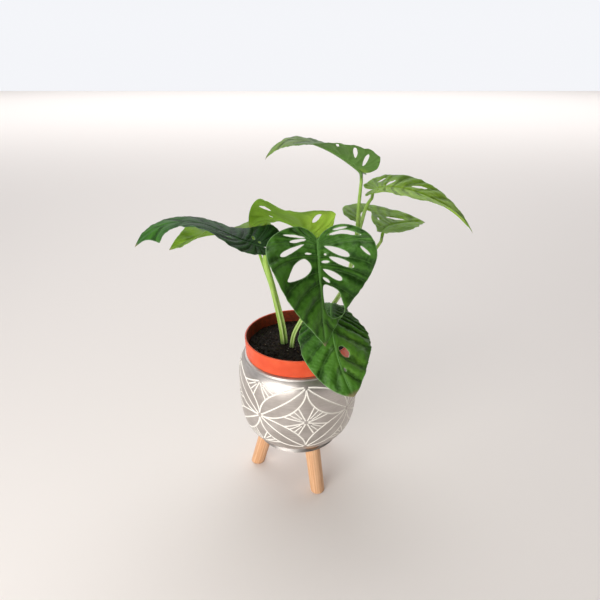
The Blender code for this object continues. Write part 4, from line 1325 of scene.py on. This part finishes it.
def open_edges(faces):
    """Directed edges that only one face has, which are the margin and the edges of the holes."""
    directed = np.vstack([faces[:, [0, 1]], faces[:, [1, 2]], faces[:, [2, 0]]]).tolist()
    present = set(map(tuple, directed))
    return [(start, end) for start, end in directed if (end, start) not in present]


def blade_veins(leaf, flat):
    """For each point the number of the lateral vein, the spacing there and the share of its way."""
    values = np.zeros((len(flat), 3))
    for half, mine in enumerate((flat[:, 0] >= 0, flat[:, 0] < 0)):
        place, reach, per_place = leaf.vein_coordinates(half, flat[mine])
        laterals = leaf.lateral_places(half)
        knots = np.concatenate([[0.0], laterals, [1.0]])
        numbers = np.arange(len(knots)).astype(float)
        numbers[0] = 1 - laterals[0] / max(laterals[1] - laterals[0], 0.01)
        density = np.interp(place, (knots[1:] + knots[:-1]) / 2, np.diff(numbers) / np.diff(knots))
        spacing = per_place / np.maximum(density, 1e-3)
        values[mine] = np.stack([np.interp(place, knots, numbers), spacing, reach], 1)
    return values


def blade_relief(leaf, flat, veins, edge_distance):
    """How high the quilted skin lies over the smooth blade, and how far its veins stand out below."""
    phase, spacing, reach = veins.T
    seed = SEED + int(leaf.length)
    from_vein = np.abs((phase + 0.5) % 1.0 - 0.5)
    vein_gap = from_vein * spacing
    across = np.abs(flat[:, 0])
    off_edge = smooth_step(0.0, 7.0, edge_distance)
    off_rib = smooth_step(1.5, 9.0, across)
    quilt = leaf.quilt * np.sin(np.clip(from_vein * 2, 0, 1) * math.pi / 2) ** 1.4
    quilt = (quilt - 0.45 * leaf.quilt) * off_rib * (0.25 + 0.75 * off_edge)
    quilt = quilt * np.clip(spacing / 9.0, 0.25, 1.2)
    groove = -0.22 * bump(vein_gap, 0.55) * (1 - 0.7 * reach)
    rib = -0.75 * bump(flat[:, 0], 1.5) + 0.42 * bump(across - 3.3, 2.0)
    rib = rib * smooth_step(0.0, 6.0, flat[:, 1]) * smooth_step(0.0, 12.0, leaf.length - flat[:, 1])
    margin = -0.35 * bump(edge_distance, 1.3)
    uneven = 0.5 * waves(flat, 34.0, seed) * off_edge
    ripple = leaf.ripple * waves(flat, 19.0, seed + 3) * (1 - off_edge) * off_rib
    pucker = 0.30 * leaf.quilt * waves(flat, 12.0, seed + 9) * off_rib
    height = quilt + pucker + groove + rib * off_edge + margin + uneven + ripple
    vein_body = 0.30 * bump(vein_gap, 0.5) * (1 - 0.75 * reach) * smooth_step(0.4, 2.5, edge_distance)
    return height, vein_body


def blade_shape(leaf):
    """The blade as a thin skin with a top, an underside and rounded edges."""
    flat, faces, edge_distance = flat_blade(leaf)
    count = len(flat)
    veins = blade_veins(leaf, flat)
    height, vein_body = blade_relief(leaf, flat, veins, edge_distance)
    middle = leaf.bent(flat)
    side_way, along_way = (leaf.bent(flat + step) - leaf.bent(flat - step)
                           for step in np.array(((0.05, 0.0), (0.0, 0.05))))
    normal = -np.cross(side_way, along_way)
    normal /= np.linalg.norm(normal, axis=1)[:, None]
    up = leaf.frame(flat[:, 1] / leaf.length)[3]
    normal *= np.sign(np.sum(normal * up, axis=1))[:, None]
    thickness = BLADE_THICKNESS * (0.55 + 0.45 * smooth_step(0.0, 1.0, edge_distance))
    top = middle + normal * (height + thickness / 2)[:, None]
    under = middle + normal * (height - thickness / 2 - vein_body)[:, None]
    facing = np.cross(top[faces[:, 1]] - top[faces[:, 0]], top[faces[:, 2]] - top[faces[:, 0]])
    if np.sum(facing * normal[faces[:, 0]]) <= 0:
        faces = faces[:, ::-1]
    shown_faces = [tuple(face) for face in faces.tolist() + (faces[:, ::-1] + count).tolist()]
    border = open_edges(faces)
    rim = sorted({point for edge in border for point in edge})
    number = {old: 2 * count + new for new, old in enumerate(rim)}
    out_way = np.zeros((count, 3))
    for start, end in border:
        outward = np.cross(middle[end] - middle[start], normal[start])
        outward /= max(np.linalg.norm(outward), 1e-9)
        out_way[start] += outward
        out_way[end] += outward
        shown_faces.append((start, number[start], number[end], end))
        shown_faces.append((number[start], start + count, end + count, number[end]))
    out_way = out_way[rim]
    out_way /= np.maximum(np.linalg.norm(out_way, axis=1), 1e-9)[:, None]
    points = np.vstack([top, under, (top[rim] + under[rim]) / 2 + out_way * 0.16])
    both = np.vstack([flat, flat, flat[rim]])
    face_side = np.concatenate([np.ones(count), -np.ones(count), np.zeros(len(rim))])
    edge_values = np.concatenate([edge_distance, edge_distance, np.zeros(len(rim))])
    # Painted light and painted shade of the leaf's listed patches, passed to the material as the third value
    tone = np.zeros(len(both))
    for spot, span, amount in leaf.painted_light_patches:
        tone += amount * bump(np.linalg.norm(both - np.array(spot, float), axis=1), span)
    return points, shown_faces, {
        "blade_place": np.column_stack([both, face_side]),
        "vein_place": np.vstack([veins, veins, veins[rim]]),
        "edge_place": np.column_stack([edge_values, leaf.length - both[:, 1], tone])}


def rib_shape(leaf):
    """The midrib below the blade and the swollen joint that meets the petiole."""
    away = leaf.joint_direction()
    joint = [leaf.joint_end(beyond=0.9), leaf.joint_end(), leaf.base + away * (JOINT_LENGTH * 0.72),
             leaf.base + away * (JOINT_LENGTH * 0.36)]
    joint_radii = [JOINT_RADIUS * 0.86, JOINT_RADIUS * 0.95, JOINT_RADIUS * 1.04, JOINT_RADIUS * 1.02]
    share = np.linspace(0.0, 1.0, 41)
    radius = MIDRIB_BASE_RADIUS + (MIDRIB_TIP_RADIUS - MIDRIB_BASE_RADIUS) * share
    point, _, _, up = leaf.frame(MIDRIB_START + (MIDRIB_REACH - MIDRIB_START) * share)
    path = np.vstack([joint, point - up * (radius * MIDRIB_SINK + 0.25)[:, None]])
    lengths = run_lengths(path)
    wanted = np.linspace(0.0, lengths[-1], 140)
    smooth = points_at(path, wanted)
    for _ in range(6):
        smooth[1:-1] = (smooth[:-2] + 2 * smooth[1:-1] + smooth[2:]) / 4
    radii = np.interp(wanted, lengths, np.concatenate([joint_radii, radius]))
    radii[-6:] *= np.linspace(0.9, 0.3, 6)
    points, faces, _ = sweep(smooth, radii, MIDRIB_SIDES, up[0])
    plain = np.ones(len(points))
    along = np.repeat(np.maximum(wanted - JOINT_LENGTH, 0.0), MIDRIB_SIDES)
    return points, faces, {"blade_place": np.column_stack([plain * 0, along, plain * -0.6]),
                           "vein_place": np.column_stack([plain * 0, plain * 8, plain * 0]),
                           "edge_place": np.column_stack([plain * 5, leaf.length - along, plain * 0])}


def build_leaf(leaf, material):
    points, faces, attributes = join_shapes([blade_shape(leaf), rib_shape(leaf)])
    piece = new_piece(leaf.name + "_fine", points, faces, material, attributes)
    stands_for(piece, leaf.name)


# The stems

@dataclass
class Stem:
    """A leafy stem: its main shoot from the soil to a leaf, and the petioles that leave it.

    A petiole has its leaf, its path, its radius where it leaves the shoot and its radius at the leaf.
    """

    name: str
    foot: tuple
    foot_radius: float
    shoot: tuple
    shoot_radius: float
    leaf: Leaf
    petioles: tuple
    channel: tuple


STEM_UPRIGHT_LEVELS = (152.0, 168.0, 181.2)

STEM_LEFT = Stem(
    "stem_left", foot=(-16, -1.5), foot_radius=4.4, leaf=LEAF_LEFT,
    shoot=((-19, -5, 208), (-27, -15, 255), (-33, -23, 286)), shoot_radius=2.7,
    petioles=(
        (LEAF_FAR_LEFT, ((-17, -2, 190), (-20, 4, 203), (-30, 22, 235), (-41, 42, 259)), 2.0, 1.6),
    ), channel=(0.75, -0.9, 0.0))

STEM_MIDDLE = Stem(
    "stem_middle", foot=(-6.5, -11), foot_radius=3.0, leaf=LEAF_FRONT,
    shoot=((-4, -11, 195), (4, -11, 212), (16, -12, 235), (22, -18, 263), (21, -25, 290)),
    shoot_radius=1.6,
    petioles=(
        (LEAF_BACK, ((9, -11.5, 222), (17, -11, 238), (22, -9, 260), (22, -4, 283)), 2.0, 1.6),
    ), channel=(-0.3, -1.0, 0.3))

STEM_RIGHT = Stem(
    "stem_right", foot=(13, 17), foot_radius=3.0, leaf=LEAF_TOP,
    shoot=((15, 16, 186), (27, 13, 199), (42, 9, 225), (52, 8, 246), (58, 9, 272), (62, 11, 301),
           (63, 13, 332)),
    shoot_radius=1.6,
    petioles=(
        (LEAF_RIGHT, ((60, 10, 285), (62, 11, 298), (66, 12.5, 311), (71, 16, 331)), 2.2, 1.6),
        (LEAF_MID_RIGHT, ((40, 10, 222), (46, 9.5, 231), (67, 11, 259), (79, 15, 276)), 1.8, 1.6),
        (LEAF_LOWER, ((14.5, 15.5, 187), (22, 8, 197), (32, -11, 219)), 1.8, 1.6),
    ), channel=(-0.5, -1.0, 0.2))

STEMS = (STEM_LEFT, STEM_MIDDLE, STEM_RIGHT)


def channel_place(angles, share, sheath):
    """The turn from the middle of the sheath's channel, and how deep the channel is there."""
    return (angles + math.pi) % math.tau - math.pi, sheath * (1 - smooth_step(0.35, 0.8, share))


def petiole_shape(path, foot_radius, top_radius, leaf, channel, sheath, from_soil):
    """A petiole with the channel and pale edges of its sheath, ridged along its length."""
    ends = [leaf.joint_end(JOINT_GAP + JOINT_LENGTH), leaf.joint_end(JOINT_GAP)]
    points = np.vstack([smooth_path([*path, ends[0]], 1.3), ends[1]])
    for _ in range(30):
        points[1:-2] = (points[:-3] + 2 * points[1:-2] + points[2:-1]) / 4
    radii = np.linspace(foot_radius, top_radius, len(points))
    if not from_soil:
        radii[:14] *= np.linspace(1.22, 1.0, 14)

    def shape(angles, share, radius):
        toward, depth = channel_place(angles, share, sheath)
        channel_cut = -0.42 * depth * bump(toward, 0.34)
        lips = 0.16 * depth * (bump(toward - 0.62, 0.22) + bump(toward + 0.62, 0.22))
        ridges = 0.022 * np.cos(9 * angles) + 0.015 * np.cos(5 * angles + 1.0)
        return radius * (1 + channel_cut + lips + ridges)

    points, faces, place = sweep(points, radii, PETIOLE_SIDES, channel, shape)
    toward, depth = channel_place(place[:, 0], place[:, 2], sheath)
    lip = depth * (bump(toward - 0.62, 0.24) + bump(toward + 0.62, 0.24))
    # Painted shade along the middle of the sheath's channel
    dark = depth * 0.4 * bump(toward, 0.2)
    if from_soil:
        dark = np.maximum(dark, 0.8 * (1 - smooth_step(178.0, 186.0, points[:, 2])))
    dark = np.maximum(dark, 0.4 * smooth_step(0.965, 1.0, place[:, 2]))
    looks = np.column_stack([np.clip(lip, 0, 1), np.clip(dark, 0, 1), depth])
    return points, faces, {"stem_place": place, "stem_looks": looks}


def build_stem(stem, material):
    foot = [(*stem.foot, level) for level in STEM_UPRIGHT_LEVELS]
    shapes = [petiole_shape([*foot, *stem.shoot], stem.foot_radius, stem.shoot_radius, stem.leaf,
                            stem.channel, 1.0, True)]
    for leaf, path, root_radius, top_radius in stem.petioles:
        shapes.append(petiole_shape(path, root_radius, top_radius, leaf, stem.channel, 0.6, False))
    points, faces, attributes = join_shapes(shapes)
    piece = new_piece(stem.name + "_fine", points, faces, material, attributes)
    stands_for(piece, stem.name)


# The stage: floor, light and camera

def area_light(name, place, target, size, power, colour):
    data = bpy.data.lights.new(name, "AREA")
    data.shape = "RECTANGLE"
    data.size, data.size_y = size
    data.energy = power
    data.color = colour
    item = add_object(name, data)
    item.location = place
    item.visible_camera = False
    way = Vector(target) - Vector(place)
    item.rotation_euler = way.to_track_quat("-Z", "Y").to_euler()


def studio_sky():
    """A pale room: bright above and behind the plant, dim and warm to the right of the camera."""
    world = bpy.data.worlds.new("studio")
    world.use_nodes = True
    sky = Nodes(world.node_tree)
    across, back, up = sky.split(sky.add("ShaderNodeTexCoord", {}, "Generated"))
    toward_right_front = sky.math("SUBTRACT", sky.times(across, 0.75), sky.times(back, 0.65))
    dimming = sky.range(toward_right_front, -0.15, 0.75, 1.0, 0.16)
    height = sky.range(up, 0.0, 0.9, 0.80, 1.0)
    glow = sky.times(sky.range(back, 0.1, 0.9), sky.range(up, 0.05, 0.6, 1.0, 0.0))
    strength = sky.plus(sky.times(sky.times(dimming, height), SKY_STRENGTH), sky.times(glow, BACKDROP_GLOW))
    background = world.node_tree.nodes["Background"]
    sky.plug(background.inputs["Strength"], strength)
    sky.plug(background.inputs["Color"], sky.mix(dimming, (1.0, 0.80, 0.66), (0.955, 0.965, 1.0)))
    return world


def build_stage():
    """A plain pale floor, the sky and three soft lights."""
    corners = [(x * FLOOR_HALF_SIZE, y * FLOOR_HALF_SIZE, 0) for x, y in ((-1, -1), (1, -1), (1, 1), (-1, 1))]
    floor_mesh = bpy.data.meshes.new("floor")
    floor_mesh.from_pydata(corners, [], [(0, 1, 2, 3)])
    floor_mesh.materials.append(Shader("pale_floor", 0.75, 0.2).finish((0.87, 0.82, 0.78)))
    floor = add_object("floor", floor_mesh)
    bpy.context.scene.world = studio_sky()
    area_light("window", (-0.64, -1.00, 0.42), (0.0, 0.0, 0.20), (1.0, 0.75), 13.0, (1.0, 0.985, 0.96))
    area_light("overhead", (-0.25, 0.65, 1.45), (0.0, 0.1, 0.1), (1.3, 0.9), 5.0, (1.0, 1.0, 1.0))
    area_light("backdrop", (0.0, 5.6, 2.9), (0.0, 5.7, 0.0), (11.0, 7.0), 330.0, (0.97, 0.98, 1.0))
    bpy.context.scene.view_settings.view_transform = "Standard"


def build_camera():
    data = bpy.data.cameras.new("camera")
    data.lens = CAMERA_LENS
    data.sensor_width = 36.0
    data.clip_start = 0.01
    camera = add_object("camera", data)
    camera.location = in_metres(CAMERA_PLACE)
    camera.rotation_euler = (math.radians(90 - CAMERA_TILT_DOWN), 0.0, 0.0)
    bpy.context.scene.camera = camera


def main():
    build_camera()
    build_stage()
    build_bowl(silver_material())
    wood = wood_material()
    for index, name in enumerate(LEG_NAMES):
        build_leg(name, index, wood)
    build_nursery_pot(plastic_material())
    build_soil(soil_material())
    stem_green = stem_material()
    for stem in STEMS:
        build_stem(stem, stem_green)
    # In each leaf colour, bright is the painted light of the lit patches; shaded patches get painted shade
    deep = leaf_material(
        "deep_green_leaf_fine", deep=(0.020, 0.080, 0.008), light=(0.075, 0.22, 0.022),
        bright=(0.17, 0.36, 0.04), under=(0.10, 0.24, 0.05), glow=(0.16, 0.36, 0.01), through_share=0.22,
        gloss_tint=(0.85, 1.0, 0.75), roughness_range=(0.32, 0.44))
    dark = leaf_material(
        "dark_green_leaf_fine", deep=(0.010, 0.036, 0.009), light=(0.032, 0.11, 0.020),
        bright=(0.075, 0.24, 0.03), under=(0.05, 0.15, 0.03), glow=(0.10, 0.26, 0.02), through_share=0.14,
        gloss_tint=(0.50, 0.95, 0.55), roughness_range=(0.42, 0.52), gloss=0.09)
    fresh = leaf_material(
        "fresh_green_leaf_fine", deep=(0.070, 0.17, 0.009), light=(0.21, 0.37, 0.028),
        bright=(0.52, 0.76, 0.10), under=(0.21, 0.36, 0.06), glow=(0.55, 0.76, 0.05), through_share=0.40,
        gloss_tint=(0.95, 1.0, 0.80), roughness_range=(0.34, 0.46))
    middle = leaf_material(
        "middle_green_leaf_fine", deep=(0.032, 0.085, 0.018), light=(0.12, 0.23, 0.045),
        bright=(0.31, 0.47, 0.08), under=(0.12, 0.24, 0.06), glow=(0.32, 0.52, 0.03), through_share=0.30,
        gloss_tint=(0.90, 1.0, 0.85), roughness_range=(0.34, 0.46))
    for leaf in (LEAF_FRONT, LEAF_LOWER):
        build_leaf(leaf, deep)
    build_leaf(LEAF_LEFT, dark)
    for leaf, green in ((LEAF_FAR_LEFT, fresh), (LEAF_BACK, fresh), (LEAF_TOP, middle), (LEAF_RIGHT, fresh),
                        (LEAF_MID_RIGHT, fresh)):
        build_leaf(leaf, green)


main()
